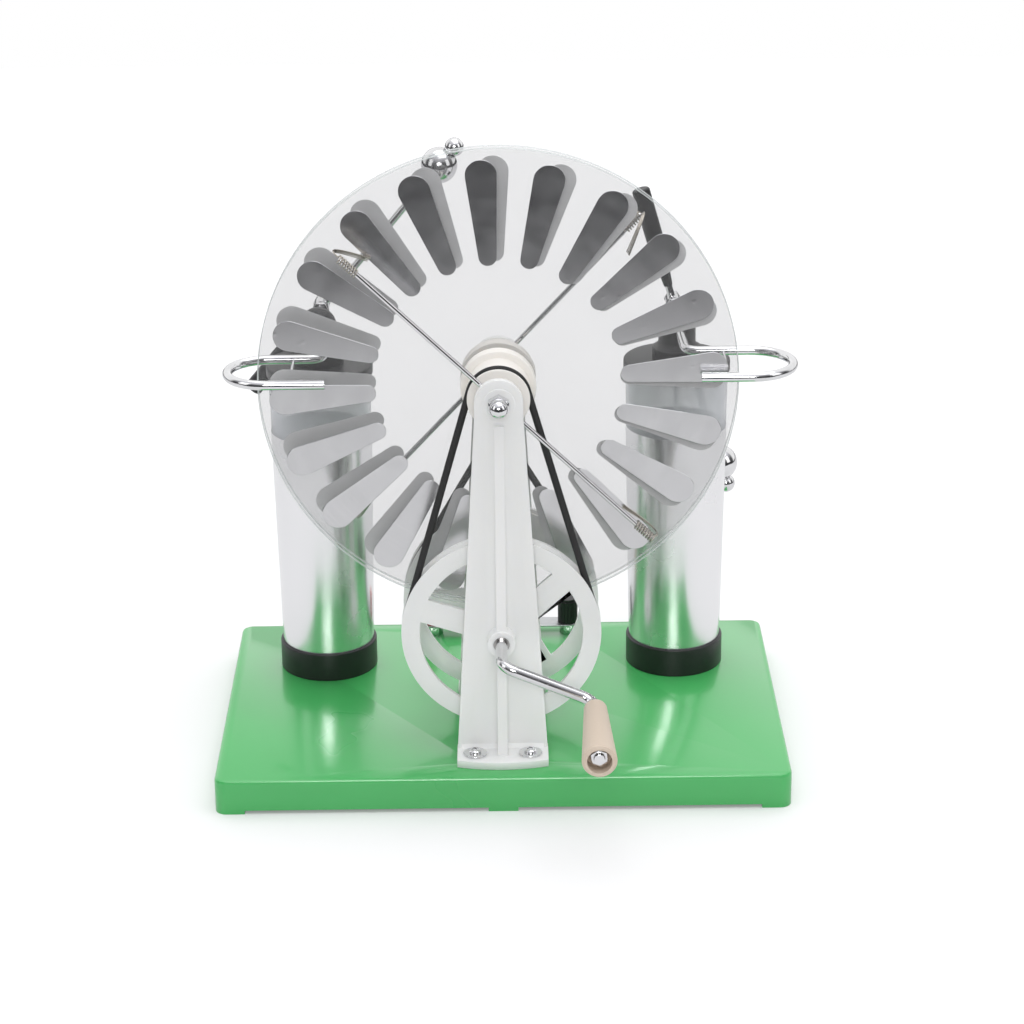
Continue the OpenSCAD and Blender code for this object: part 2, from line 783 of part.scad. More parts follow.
module drive_wheel(turn) {
    difference() {
        union() {
            spun_y() difference() {
                translate([wheel_wall_r, -pulley_face]) square([wheel_r - wheel_wall_r, wheel_w]);
                groove_profile(big_belt_r, -belt_face);
            }
            spun_y() translate([wheel_inner_r, -pulley_face])
                square([wheel_wall_r - wheel_inner_r + seat, wheel_face_t]);
            bar_y(wheel_hub_r, -plate_in + 0.4, -wheel_hub_back);
            for (i = [0 : spoke_count - 1])
                rotate([0, -turn - i * 360 / spoke_count, 0]) {
                    translate([wheel_hub_r - 2, -pulley_face, -spoke_w / 2])
                        cube([wheel_inner_r - wheel_hub_r + 2 + seat * 4, wheel_face_t, spoke_w]);
                    // stiffening web behind each spoke
                    translate([wheel_hub_r - 2, -pulley_face + wheel_face_t - seat, -rib_t / 2])
                        cube([wheel_wall_r - wheel_hub_r + 2 + seat, wheel_w / 2, rib_t]);
                }
        }
        bar_y(shaft_d / 2 + seat, -plate_in - cut, -wheel_hub_back + cut);
        translate([0, -grub_y, 0]) rotate([0, -turn - 60, 0]) rotate([0, 90, 0])
            cylinder(r = grub_r + seat, h = wheel_hub_r + cut);
    }
}

module grub_screw(turn) {
    translate([0, -grub_y, 0]) rotate([0, -turn - 60, 0]) rotate([0, 90, 0])
        translate([0, 0, shaft_d / 2 + seat])
            difference() {
                cylinder(r = grub_r, h = wheel_hub_r - shaft_d / 2 - 1);
                translate([0, 0, wheel_hub_r - shaft_d / 2 - 2.5])
                    cylinder(r = grub_r * 0.55, h = 3, $fn = 6);
            }
}

// Moves what is drawn for the front wheel to the rear one
module at_rear_wheel() translate([0, belt_face + rear_belt_face, 0]) children();

module front_drive_wheel() color(milk_plastic) at_shaft() drive_wheel(spoke_turn);
module rear_drive_wheel() color(milk_plastic) at_shaft() at_rear_wheel() drive_wheel(rear_spoke_turn);

module wheel_grub_screws() {
    color(steel) at_shaft() {
        grub_screw(spoke_turn);
        at_rear_wheel() grub_screw(rear_spoke_turn);
    }
}

// Crank shaft, one bent rod: shaft, arm and the pin for the grip

collar_w = 6;
collar_out_r = 6;
shaft_back = plate_out + shaft_boss_l + 0.3 + collar_w + 1;
pin_l = grip_l - 2;
shoulder_l = 1;

module drive_shaft() {
    r = shaft_d / 2;
    // from the rear end to the crank, round two bends to the grip's pin
    color(steel) translate([0, mid_y + shaft_back, shaft_z]) rotate([0, crank_turn, 0]) rotate([90, 0, 0])
        straight(mid_y + shaft_back - crank_y - crank_bend_r, r)
            bend(crank_bend_r, 90, r)
                straight(crank_r - 2 * crank_bend_r, r)
                    bend(crank_bend_r, -90, r)
                        straight(shoulder_l, r)
                            straight(pin_l, grip_pin_d / 2);
}

module shaft_collar() {
    from = plate_out + shaft_boss_l + 0.3;
    color(steel) at_shaft() difference() {
        bar_y(collar_out_r, from, from + collar_w);
        bar_y(shaft_d / 2 + seat, from - cut, from + collar_w + cut);
        translate([0, from + collar_w / 2, 0]) cylinder(r = grub_r, h = collar_out_r + cut);
    }
}

// Grip

grip_from = crank_y - crank_bend_r - shoulder_l - 0.3;
grip_cup_d = 12;
grip_cup_h = 8;
nut_flats = 8;
nut_t = 4;

module at_grip() translate([0, 0, shaft_z]) rotate([0, crank_turn, 0]) translate([crank_r, 0, 0]) children();

module crank_grip() {
    in_r = grip_in_d / 2;
    out_r = grip_out_d / 2;
    edge = 1.5;
    soft = edge * 0.3;
    color(beige_plastic) at_grip() translate([0, grip_from, 0])
        spun_y() difference() {
            polygon([[0, 0], [in_r - edge, 0], [in_r - soft, -soft], [in_r, -edge],
                [out_r, -grip_l + edge], [out_r - soft, -grip_l + soft], [out_r - edge, -grip_l], [0, -grip_l]]);
            translate([-cut, -grip_l - cut]) square([grip_pin_d / 2 + run_gap + cut, grip_l + 2 * cut]);
            translate([-cut, -grip_l - cut]) square([grip_cup_d / 2 + cut, grip_cup_h + cut]);
        }
}

module grip_nut() {
    color(steel) at_grip() translate([0, grip_from - grip_l + grip_cup_h - 0.3, 0]) rotate([90, 0, 0])
        difference() {
            linear_extrude(nut_t) hexagon(nut_flats);
            translate([0, 0, -cut]) cylinder(r = grip_pin_d / 2 + seat, h = nut_t + 2 * cut);
        }
}

// Belts

// The point where a belt touches a wheel, at an angle above the right
function touch(z, r, a) = [r * cos(a), 0, z + r * sin(a)];

belt_steps = 20;
run_steps = 14;

function arc_points(z, r, a0, a1) =
    [for (i = [0 : belt_steps - 1]) touch(z, r, a0 + (a1 - a0) * i / belt_steps)];

// Points of the open belt, once round
open_path = let (a = open_belt_turn) concat(
    arc_points(axle_z, small_belt_r, a, 180 - a),
    [touch(axle_z, small_belt_r, 180 - a)],
    arc_points(shaft_z, big_belt_r, 180 - a, 360 + a),
    [touch(shaft_z, big_belt_r, a)]);

// Points of the crossed belt, once round: its runs swing aside where they pass each other
aside = belt_d / 2 + 0.2;
cross_share = small_belt_r / (small_belt_r + big_belt_r);

// How far a run has swung aside, at a share of its length from the small pulley
function swing(t) =
    t < cross_share ? (1 - cos(180 * t / cross_share)) / 2
    : (1 + cos(180 * (t - cross_share) / (1 - cross_share))) / 2;

// The run from p to q, sideways by s, with its share counted from p or from q
function run_points(p, q, s, from_small) =
    [for (i = [0 : run_steps - 1])
        let (t = i / run_steps)
        p + (q - p) * t + [0, s * aside * swing(from_small ? t : 1 - t), 0]];

crossed_path = let (a = cross_belt_turn) concat(
    arc_points(axle_z, small_belt_r, -a, 180 + a),
    run_points(touch(axle_z, small_belt_r, 180 + a), touch(shaft_z, big_belt_r, a), -1, true),
    arc_points(shaft_z, big_belt_r, a, -180 - a),
    run_points(touch(shaft_z, big_belt_r, 180 - a), touch(axle_z, small_belt_r, -a), 1, false));

// A round belt along a closed row of points that lies close to the plane of X and Z
belt_sides = 12;
module closed_belt(path, r) {
    n = len(path);
    points = [for (i = [0 : n - 1])
        let (t = unit(path[(i + 1) % n] - path[(i + n - 1) % n]), s = side_of(t, [0, 1, 0]), u = cross(t, s))
        for (j = [0 : belt_sides - 1])
            path[i] + r * (cos(360 * j / belt_sides) * s + sin(360 * j / belt_sides) * u)];
    faces = [for (i = [0 : n - 1], j = [0 : belt_sides - 1])
        let (a = i * belt_sides, b = (i + 1) % n * belt_sides, k = (j + 1) % belt_sides)
        for (f = [[a + j, b + j, a + k], [a + k, b + j, b + k]]) f];
    polyhedron(points = points, faces = faces);
}

module front_belt() {
    color(rubber) translate([0, mid_y - belt_face, 0]) closed_belt(open_path, belt_d / 2);
}

module rear_belt() {
    color(rubber) translate([0, mid_y + rear_belt_face, 0]) closed_belt(crossed_path, belt_d / 2);
}

// Storage jars, each drawn round its own upright axis

function jar_r(z) = jar_low_r + (jar_high_r - jar_low_r) * (z - jar_floor_z) / (base_h + jar_h - jar_floor_z);

jar_top_z = base_h + jar_h;
lid_z = jar_top_z + lid_t;

module jar_cap() {
    top_z = base_h + low_cap_h;
    edge = 1;
    color(black_plastic) rotate_extrude() difference() {
        union() {
            translate([0, base_h]) square([low_cap_r, low_cap_h - edge]);
            translate([0, base_h]) square([low_cap_r - edge, low_cap_h]);
            translate([low_cap_r - edge, top_z - edge]) circle(r = edge, $fn = 32);
        }
        polygon([[-cut, jar_floor_z], [jar_r(jar_floor_z) + 0.1, jar_floor_z], [jar_r(top_z + cut) + 0.1, top_z + cut],
            [-cut, top_z + cut]]);
    }
}

module jar() {
    color(clear_sheet) rotate_extrude() difference() {
        polygon([[0, jar_floor_z], [jar_low_r, jar_floor_z], [jar_high_r, jar_top_z], [0, jar_top_z]]);
        polygon([[-cut, jar_floor_z + jar_wall], [jar_low_r - jar_wall, jar_floor_z + jar_wall],
            [jar_high_r - jar_wall, jar_top_z + cut], [-cut, jar_top_z + cut]]);
    }
}

// A band of foil on the wall of a jar, its inner face a little off the radius given
module foil_band(z0, z1, off) {
    rotate_extrude()
        polygon([[jar_r(z0) + off, z0], [jar_r(z0) + off + foil_t, z0],
            [jar_r(z1) + off + foil_t, z1], [jar_r(z1) + off, z1]]);
}

module jar_foil() {
    color(foil_metal) foil_band(base_h + low_cap_h + 0.2, base_h + foil_h, 0.02);
}

module inner_foil() {
    color(foil_metal) foil_band(jar_floor_z + jar_wall + 1, base_h + foil_h - 6, -jar_wall - foil_t - 0.05);
}

module jar_lid() {
    edge = 1;
    color(black_plastic) rotate_extrude() difference() {
        union() {
            translate([0, jar_top_z - lid_skirt]) square([lid_r, lid_t + lid_skirt - edge]);
            translate([0, jar_top_z]) square([lid_r - edge, lid_t]);
            translate([lid_r - edge, lid_z - edge]) circle(r = edge, $fn = 32);
        }
        translate([-cut, jar_top_z - lid_skirt - cut]) square([jar_high_r + 0.1 + cut, lid_skirt + cut]);
        translate([-cut, jar_top_z - cut]) square([contact_r + seat + cut, lid_t + 2 * cut]);
    }
}

contact_r = 1.5;
turret_fillet = 3;

// The insulating turret: a foot, a fillet, a short column and a round head
module turret() {
    shoulder = lid_z + turret_foot_h;
    color(black_plastic) difference() {
        rotate_extrude() difference() {
            union() {
                translate([0, lid_z]) square([turret_foot_r, turret_foot_h - 1]);
                translate([0, lid_z]) square([turret_foot_r - 1, turret_foot_h]);
                translate([turret_foot_r - 1, shoulder - 1]) circle(r = 1, $fn = 32);
                translate([0, shoulder - seat]) square([turret_head_r, rod_z - shoulder + seat]);
                difference() {
                    translate([0, shoulder - seat]) square([turret_head_r + turret_fillet - 1, turret_fillet]);
                    translate([turret_head_r + turret_fillet, shoulder + turret_fillet])
                        circle(r = turret_fillet, $fn = 48);
                }
                intersection() {
                    translate([0, rod_z]) circle(r = turret_head_r);
                    translate([0, rod_z - seat]) square([turret_head_r, turret_head_r + 1]);
                }
            }
            translate([-cut, lid_z - cut]) square([contact_r + seat + cut, rod_z - coll_d / 2 - lid_z + cut]);
        }
        translate([0, 0, rod_z]) bar_y(coll_d / 2 + seat, -turret_head_r - cut, turret_head_r + cut);
    }
}

// The rod from the collector down to a springy contact on the inner foil
contact_low = 60;
contact_strip_w = 5;
contact_strip_t = 0.6;
contact_gap = 0.4;

module contact_rod() {
    low_z = base_h + contact_low;
    bow = jar_r(low_z) - jar_wall - foil_t - 0.3;
    color(steel) {
        translate([0, 0, low_z]) cylinder(r = contact_r, h = rod_z - coll_d / 2 - low_z - 0.1);
        for (side = [0, 180]) rotate([0, 0, side])
            translate([0, contact_strip_w / 2, low_z + 1]) rotate([90, 0, 0]) linear_extrude(contact_strip_w)
                difference() {
                    translate([bow / 2 + contact_gap, 0]) circle(d = bow - 2 * contact_gap);
                    translate([bow / 2 + contact_gap, 0]) circle(d = bow - 2 * contact_gap - 2 * contact_strip_t);
                    translate([-bow, -2 * bow]) square([4 * bow, 2 * bow]);
                }
    }
}

module left_jar_cap() translate([-jar_x, jar_y, 0]) jar_cap();
module right_jar_cap() translate([jar_x, jar_y, 0]) jar_cap();
module left_jar() translate([-jar_x, jar_y, 0]) jar();
module right_jar() translate([jar_x, jar_y, 0]) jar();
module left_jar_foil() translate([-jar_x, jar_y, 0]) jar_foil();
module right_jar_foil() translate([jar_x, jar_y, 0]) jar_foil();
module left_inner_foil() translate([-jar_x, jar_y, 0]) inner_foil();
module right_inner_foil() translate([jar_x, jar_y, 0]) inner_foil();
module left_lid() translate([-jar_x, jar_y, 0]) jar_lid();
module right_lid() translate([jar_x, jar_y, 0]) jar_lid();
module left_turret() translate([-jar_x, jar_y, 0]) turret();
module right_turret() translate([jar_x, jar_y, 0]) turret();
module left_contact_rod() translate([-jar_x, jar_y, 0]) contact_rod();
module right_contact_rod() translate([jar_x, jar_y, 0]) contact_rod();

// Collectors: a rod through the turret that bends out and back round the discs' rim

elbow_r = 7;
end_nut_t = 3.5;
eye_front = spark_y - eye_w / 2 - 0.3;
eye_back = spark_y + eye_w / 2 + 0.3;
coll_back_y = eye_back + end_nut_t + 1.5;
turret_front_y = jar_y - turret_head_r - 1;

// The right collector: its rear arm and front arm stand at the given places, front to back
module collector(lean, rear_y, arms, past_rim, end_back) {
    r = coll_d / 2;
    joint_r = r + 0.06;
    loop_r = arms / 2;
    lean_x = jar_x + (turret_front_y - rear_y - elbow_r) * tan(lean);
    loop_x = disc_r + past_rim - r - loop_r;
    lean_to = [lean_x, rear_y + elbow_r, rod_z];
    translate([jar_x, 0, rod_z]) bar_y(r, turret_front_y, coll_back_y);
    translate([jar_x, turret_front_y, rod_z]) sphere(r = joint_r);
    bar([jar_x, turret_front_y, rod_z], lean_to, r);
    translate(lean_to) sphere(r = joint_r);
    translate(lean_to) rotate([90, 0, 0])
        bend(elbow_r, 90, r)
            straight(loop_x - lean_x - elbow_r, r)
                bend(loop_r, -180, r)
                    straight(loop_x - disc_r + end_back, r);
}

module left_collector() {
    color(steel) mirror([1, 0, 0])
        collector(left_lean, left_rear_y, left_arms, left_past_rim, left_end_back);
}

module right_collector() {
    color(steel) collector(right_lean, right_rear_y, right_arms, right_past_rim, right_end_back);
}

// A round point that stands on an arm and looks at a disc
module point_to(x, from_y, to_y) {
    side = sign(to_y - from_y);
    l = abs(to_y - from_y);
    tip = min(2, l * 0.6);
    translate([x, from_y, rod_z]) rotate([-90 * side, 0, 0]) {
        cylinder(r = coll_point_d / 2, h = l - tip);
        translate([0, 0, l - tip]) cylinder(r1 = coll_point_d / 2, r2 = 0.25, h = tip);
    }
}

module collector_points() {
    // the points start inside the rods
    r = coll_d / 2 - 0.6;
    face = disc_out + foil_t + coll_point_gap;
    color(steel) {
        point_to(-(disc_r - left_points_back[0]), left_rear_y - r, mid_y + face);
        point_to(-(disc_r - left_points_back[1]), left_rear_y - left_arms + r, mid_y - face);
        point_to(disc_r - right_points_back[0], right_rear_y - r, mid_y + face);
        point_to(disc_r - right_points_back[1], right_rear_y - right_arms + r, mid_y - face);
    }
}

// A nut on each side of a discharge rod's eye
module collector_end_nuts() {
    color(steel) for (x = [-1, 1], y = [eye_front, eye_back + end_nut_t])
        translate([x * jar_x, y, rod_z]) rotate([90, 0, 0])
            difference() {
                linear_extrude(end_nut_t) hexagon(8);
                translate([0, 0, -cut]) cylinder(r = coll_d / 2 + seat, h = end_nut_t + 2 * cut);
            }
}

// Discharge rods, drawn along +X from the pivot, then turned

rod_in_handle = 14;
ferrule_l = 5;

module at_pivot(side, turn) {
    translate([side * jar_x, spark_y, rod_z]) rotate([0, -turn, 0]) children();
}

module spark_rod(slide) {
    r = spark_rod_d / 2;
    ball_x = big_ball_r - slide;
    difference() {
        union() {
            bar_y(eye_d / 2, -eye_w / 2, eye_w / 2);
            translate([-handle_start - rod_in_handle - slide, 0, 0]) rotate([0, 90, 0])
                cylinder(r = r, h = ball_x + handle_start + rod_in_handle + slide);
            translate([ball_x, 0, 0]) sphere(d = big_ball_d);
            translate([ball_x + ball_step, 0, 0]) sphere(d = small_ball_d);
            translate([ball_x - big_ball_d / 2 - ferrule_l + 2, 0, 0]) rotate([0, 90, 0])
                cylinder(r = r + 1.2, h = ferrule_l);
        }
        bar_y(coll_d / 2 + run_gap, -eye_w / 2 - cut, eye_w / 2 + cut);
    }
}

module spark_handle(slide) {
    neck = eye_d / 2 + 0.8;
    r = spark_rod_d / 2;
    color(black_plastic) translate([-slide, 0, 0]) rotate([0, -90, 0]) rotate_extrude() difference() {
        union() {
            polygon([[0, neck], [2.4, neck], [3, handle_start - 1], [handle_d / 2 - 1, handle_start],
                [handle_d / 2, handle_start + 1], [handle_d / 2, handle_end - 1.5],
                [handle_d / 2 - 1.5, handle_end], [0, handle_end]]);
            translate([handle_d / 2 - 1.5, handle_end - 1.5]) circle(r = 1.5, $fn = 32);
        }
        translate([-cut, neck - cut]) square([r + seat + cut, handle_start + rod_in_handle - neck + cut + seat]);
    }
}

module left_spark_rod() color(steel) at_pivot(-1, left_spark_turn) spark_rod(0);
module left_spark_handle() at_pivot(-1, left_spark_turn) spark_handle(0);
module right_spark_rod() color(steel) at_pivot(1, right_spark_turn) spark_rod(right_spark_slide);
module right_spark_handle() at_pivot(1, right_spark_turn) spark_handle(right_spark_slide);

// Terminals

stud_r = 2;
post_nut_h = 5.8;
strip_z = base_h + post_nut_h;
knob_z = strip_z + strip_t + 0.2;
stud_top = knob_z + knob_h - 3;
knurls = 20;

module terminal_studs() {
    low_z = foot_h + 2;
    color(steel) at_posts() {
        translate([0, 0, low_z]) cylinder(r = stud_r, h = stud_top - low_z);
        translate([0, 0, plate_under_z - 3]) linear_extrude(3 - seat) hexagon(7);
    }
}

module terminal_nuts() {
    color(steel) at_posts() translate([0, 0, base_h]) difference() {
        linear_extrude(post_nut_h) hexagon(8);
        translate([0, 0, -cut]) cylinder(r = stud_r + seat, h = post_nut_h + 2 * cut);
    }
}

module link_strip() {
    color(steel) translate([0, post_y, strip_z]) linear_extrude(strip_t) difference() {
        union() {
            square([2 * post_x, strip_w], center = true);
            for (x = [-1, 1]) translate([x * post_x, 0]) circle(d = strip_w);
        }
        for (x = [-1, 1]) translate([x * post_x, 0]) circle(r = stud_r + seat);
    }
}

// A knurled screw cap over a terminal's stud
module knob() {
    translate([0, 0, knob_z]) difference() {
        union() {
            linear_extrude(knob_h - 1.5) difference() {
                circle(d = knob_d);
                for (i = [0 : knurls - 1])
                    rotate(i * 360 / knurls) translate([knob_d / 2, 0]) circle(r = 0.45, $fn = 16);
            }
            cylinder(d = knob_d - 2, h = knob_h);
        }
        translate([0, 0, -cut]) cylinder(r = stud_r + run_gap, h = knob_h - 2.8 + cut);
    }
}

module red_knob() color("firebrick") translate([-post_x, post_y, 0]) knob();
module black_knob() color(black_plastic) translate([post_x, post_y, 0]) knob();

base();
front_upright();
rear_upright();
upright_screws();
upright_washers();
front_shaft_bush();
rear_shaft_bush();
disc_axle();
axle_cap_nuts();
front_belt();
rear_belt();
left_jar_cap();
right_jar_cap();
left_jar();
right_jar();
left_jar_foil();
right_jar_foil();
left_inner_foil();
right_inner_foil();
left_lid();
right_lid();
left_turret();
right_turret();
left_contact_rod();
right_contact_rod();
left_collector();
right_collector();
collector_points();
collector_end_nuts();
terminal_studs();
terminal_nuts();
link_strip();
drive_shaft();
front_drive_wheel();
rear_drive_wheel();
wheel_grub_screws();
shaft_collar();
grip_nut();
crank_grip();
front_disc();
front_sectors();
front_hub();
front_clamp_ring();
rear_disc();
rear_sectors();
rear_hub();
rear_clamp_ring();
front_neutraliser();
front_brushes();
rear_neutraliser();
rear_brushes();
left_spark_rod();
left_spark_handle();
right_spark_rod();
right_spark_handle();
red_knob();
black_knob();
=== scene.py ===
# %% [markdown]
# # A hand-cranked influence machine, dressed for the camera
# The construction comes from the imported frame: two clear discs on one axle, two jars, uprights, belts and a
# crank. This lesson gives each piece its finish, softens the edges of the mouldings, and remakes the pieces
# whose looks need more than the solids carry: the discs, their foil sectors, the belts and the brushes.

# %% Load the frame
import json
import math

import bmesh
import bpy
from mathutils import Matrix, Vector

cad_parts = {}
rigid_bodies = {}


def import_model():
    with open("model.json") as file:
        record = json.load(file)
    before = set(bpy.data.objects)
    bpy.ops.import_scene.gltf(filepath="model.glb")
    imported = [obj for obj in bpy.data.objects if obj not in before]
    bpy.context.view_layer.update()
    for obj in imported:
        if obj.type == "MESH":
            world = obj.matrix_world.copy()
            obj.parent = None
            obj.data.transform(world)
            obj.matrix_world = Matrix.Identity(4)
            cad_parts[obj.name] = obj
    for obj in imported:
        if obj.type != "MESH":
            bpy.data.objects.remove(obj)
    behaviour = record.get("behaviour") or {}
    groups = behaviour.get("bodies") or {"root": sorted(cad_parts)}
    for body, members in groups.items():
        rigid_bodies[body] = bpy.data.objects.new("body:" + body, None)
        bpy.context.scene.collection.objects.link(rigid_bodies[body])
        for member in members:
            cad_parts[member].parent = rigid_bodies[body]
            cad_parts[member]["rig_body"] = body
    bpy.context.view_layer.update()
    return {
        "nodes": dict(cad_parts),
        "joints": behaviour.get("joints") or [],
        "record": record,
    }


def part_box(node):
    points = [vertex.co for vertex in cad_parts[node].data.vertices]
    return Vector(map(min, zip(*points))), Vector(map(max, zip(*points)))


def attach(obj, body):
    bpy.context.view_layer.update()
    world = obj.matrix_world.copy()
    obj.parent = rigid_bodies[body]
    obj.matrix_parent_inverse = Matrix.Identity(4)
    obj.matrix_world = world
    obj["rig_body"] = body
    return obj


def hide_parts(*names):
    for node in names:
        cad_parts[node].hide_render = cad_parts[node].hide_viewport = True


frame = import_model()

nodes = frame["nodes"]
body_of = {n: o["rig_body"] for n, o in nodes.items()}
slot_of = {p["node"]: p["material_slot"] for p in frame["record"]["subparts"]}
joints = {j["name"]: j for j in frame["joints"]}

# %% [markdown]
# ## Helpers
# Almost everything below is made of nodes. An input of a node takes a plain value or a link from another
# node, so one helper does both: it gets a dictionary of inputs and looks at what is meant for each of them.
# Writing the value and the link in the same way keeps a long node tree readable from top to bottom.

# %% Helpers for objects and nodes
def plain_object(name, data):
    obj = bpy.data.objects.new(name, data)
    bpy.context.scene.collection.objects.link(obj)
    return obj


def feed(node, sources):
    """Writes a plain value to each named input, or links another node's output to it."""
    for label, source in sources.items():
        if isinstance(source, bpy.types.NodeSocket):
            node.id_data.links.new(source, node.inputs[label])
        else:
            node.inputs[label].default_value = source


def add_node(tree, kind, sources=None, **settings):
    node = tree.nodes.new(kind)
    for key, value in settings.items():
        setattr(node, key, value)
    feed(node, sources or {})
    return node


def calculate(tree, operation, first, second=0.0):
    """A math node on one or two values or links. Its output is handed back."""
    return add_node(tree, "ShaderNodeMath", {0: first, 1: second}, operation=operation).outputs[0]


def remap(tree, value, low, high, to_low, to_high, **settings):
    """Moves a value from one range to another and holds it inside the new one."""
    sources = {"Value": value, "From Min": low, "From Max": high, "To Min": to_low, "To Max": to_high}
    return add_node(tree, "ShaderNodeMapRange", sources, **settings).outputs["Result"]


def seen_directly(tree):
    """Is 1 for rays from the camera and for rays through clear things."""
    path = add_node(tree, "ShaderNodeLightPath").outputs
    return calculate(tree, "MAXIMUM", path["Is Camera Ray"], path["Is Transmission Ray"])


print("helpers:", [f.__name__ for f in (plain_object, feed, add_node, calculate, remap, seen_directly)])

# %% [markdown]
# ## The camera
# The photograph was taken with a long lens, from about 1.4 m in front of the machine's middle and well above
# the discs. The camera's place, tilt and lens are plain numbers, because the frame is in true metres.
# A long lens keeps upright edges nearly parallel, so the lens matters as much as the place.

# %% Camera
EYE = Vector((0.0001, -1.4082, 0.6746))
PITCH_DOWN = math.radians(21.386)
YAW = math.radians(0.251)
ROLL = math.radians(-0.624)
LENS_MM = 102.62
SENSOR_MM = 36

forward = Vector((math.sin(YAW) * math.cos(PITCH_DOWN), math.cos(YAW) * math.cos(PITCH_DOWN),
                  -math.sin(PITCH_DOWN)))
level_right = Vector((math.cos(YAW), -math.sin(YAW), 0))
level_up = level_right.cross(forward)
right = math.cos(ROLL) * level_right + math.sin(ROLL) * level_up
up = math.cos(ROLL) * level_up - math.sin(ROLL) * level_right

camera = plain_object("camera", bpy.data.cameras.new("camera"))
camera.data.lens = LENS_MM
camera.data.sensor_width = SENSOR_MM
camera.data.clip_start = 0.05
camera.matrix_world = Matrix.Translation(EYE) @ Matrix((right, up, -forward)).transposed().to_4x4()
bpy.context.scene.camera = camera
bpy.context.scene.view_settings.view_transform = "Standard"
print("camera at", tuple(round(v, 3) for v in EYE))

# %% [markdown]
# ## The floor
# The machine stands on a plain pale sheet that ends a little way in front of it, as a studio table does.
# A white floor could be made by brighter lamps, but those would bleach the machine as well. Here the sheet
# adds a soft glow for rays that come from the camera or through clear things. The glow grows towards the
# back, where less lamp light arrives, so the floor stays an even white and still takes the machine's shadow.

# %% Floor
FLOOR_FRONT, FLOOR_BACK, FLOOR_SIDE = -0.76, 1.6, 1.7
PAPER_GREY = 0.76
GLOW_FROM = 0.1
GLOW_NEAR, GLOW_FAR = 0.16, 0.40


def empty_material(name):
    material = bpy.data.materials.new(name)
    material.use_nodes = True
    material.node_tree.nodes.clear()
    return material


corners = [(-FLOOR_SIDE, FLOOR_FRONT, 0), (FLOOR_SIDE, FLOOR_FRONT, 0),
           (FLOOR_SIDE, FLOOR_BACK, 0), (-FLOOR_SIDE, FLOOR_BACK, 0)]
floor_mesh = bpy.data.meshes.new("floor")
floor_mesh.from_pydata(corners, [], [(0, 1, 2, 3)])
floor = plain_object("floor", floor_mesh)

paper = empty_material("pale table")
tree = paper.node_tree
matt = add_node(tree, "ShaderNodeBsdfDiffuse", {"Color": (PAPER_GREY, PAPER_GREY, PAPER_GREY, 1)})
where = add_node(tree, "ShaderNodeTexCoord")
depth = add_node(tree, "ShaderNodeSeparateXYZ", {0: where.outputs["Object"]}).outputs["Y"]
level = remap(tree, depth, GLOW_FROM, FLOOR_BACK, GLOW_NEAR, GLOW_FAR)
glow_level = calculate(tree, "MULTIPLY", seen_directly(tree), level)
glow = add_node(tree, "ShaderNodeEmission", {"Strength": glow_level})
both = add_node(tree, "ShaderNodeAddShader", {0: matt.outputs[0], 1: glow.outputs[0]})
add_node(tree, "ShaderNodeOutputMaterial", {"Surface": both.outputs[0]})
floor_mesh.materials.append(paper)
print("floor reaches", -FLOOR_FRONT, "m in front of the middle")

# %% [markdown]
# ## Surroundings and lamps
# Polished metal and foil show their surroundings, so what lies beyond the table matters. It is dark low down
# in front, which gives the upper foil sectors their deep grey. It is bright overhead and behind, where a
# studio has its white backdrop. Rays from the camera, or through clear things, find plain white instead.
# Four large soft lamps light the machine: one overhead, one from each side, and the strongest one from the
# front, above the camera.

# %% Surroundings
# Each stop is a height, from straight down at 0 to straight up at 1, and the grey of the room there
ROOM_GREYS = ((0.0, 0.03), (0.50, 0.05), (0.70, 0.12), (0.80, 0.40), (0.90, 0.85), (1.0, 0.95))
COOL_TINT = 1.05
BACKDROP = 1.10

world = bpy.data.worlds.new("studio")
bpy.context.scene.world = world
world.use_nodes = True
tree = world.node_tree
tree.nodes.clear()
where = add_node(tree, "ShaderNodeTexCoord")
toward = add_node(tree, "ShaderNodeSeparateXYZ", {0: where.outputs["Generated"]}).outputs
shades = add_node(tree, "ShaderNodeValToRGB", {"Fac": remap(tree, toward["Z"], -1.0, 1.0, 0.0, 1.0)})
ramp = shades.color_ramp
ramp.elements.remove(ramp.elements[0])
ramp.elements[0].position = 0.0
for place, grey in ROOM_GREYS:
    stop = ramp.elements.new(place) if place else ramp.elements[0]
    stop.color = (grey, grey, grey * COOL_TINT, 1)
# The backdrop comes in softly towards the back, and only above the level of the floor
behind = remap(tree, toward["Y"], 0.0, 0.35, 0.0, BACKDROP, interpolation_type="SMOOTHSTEP")
above_floor = remap(tree, toward["Z"], -0.02, 0.04, 0.0, 1.0, interpolation_type="SMOOTHSTEP")
lightest = add_node(tree, "ShaderNodeMix", {
    "Factor": 1.0, "A": shades.outputs["Color"], "B": calculate(tree, "MULTIPLY", behind, above_floor)},
    data_type="RGBA", blend_type="LIGHTEN")
room = add_node(tree, "ShaderNodeBackground", {"Color": lightest.outputs["Result"]})
white = add_node(tree, "ShaderNodeBackground", {"Color": (1, 1, 1, 1)})
pick = add_node(tree, "ShaderNodeMixShader", {
    "Fac": seen_directly(tree), 1: room.outputs[0], 2: white.outputs[0]})
add_node(tree, "ShaderNodeOutputWorld", {"Surface": pick.outputs[0]})
print("room greys:", [(round(e.position, 2), round(e.color[0], 2)) for e in ramp.elements])


# %% Lamps
def soft_lamp(name, place, aim, size, power):
    lamp = plain_object(name, bpy.data.lights.new(name, "AREA"))
    lamp.data.shape = "RECTANGLE"
    lamp.data.size, lamp.data.size_y = size
    lamp.data.energy = power
    lamp.location = place
    lamp.rotation_euler = (Vector(aim) - Vector(place)).to_track_quat("-Z", "Y").to_euler()


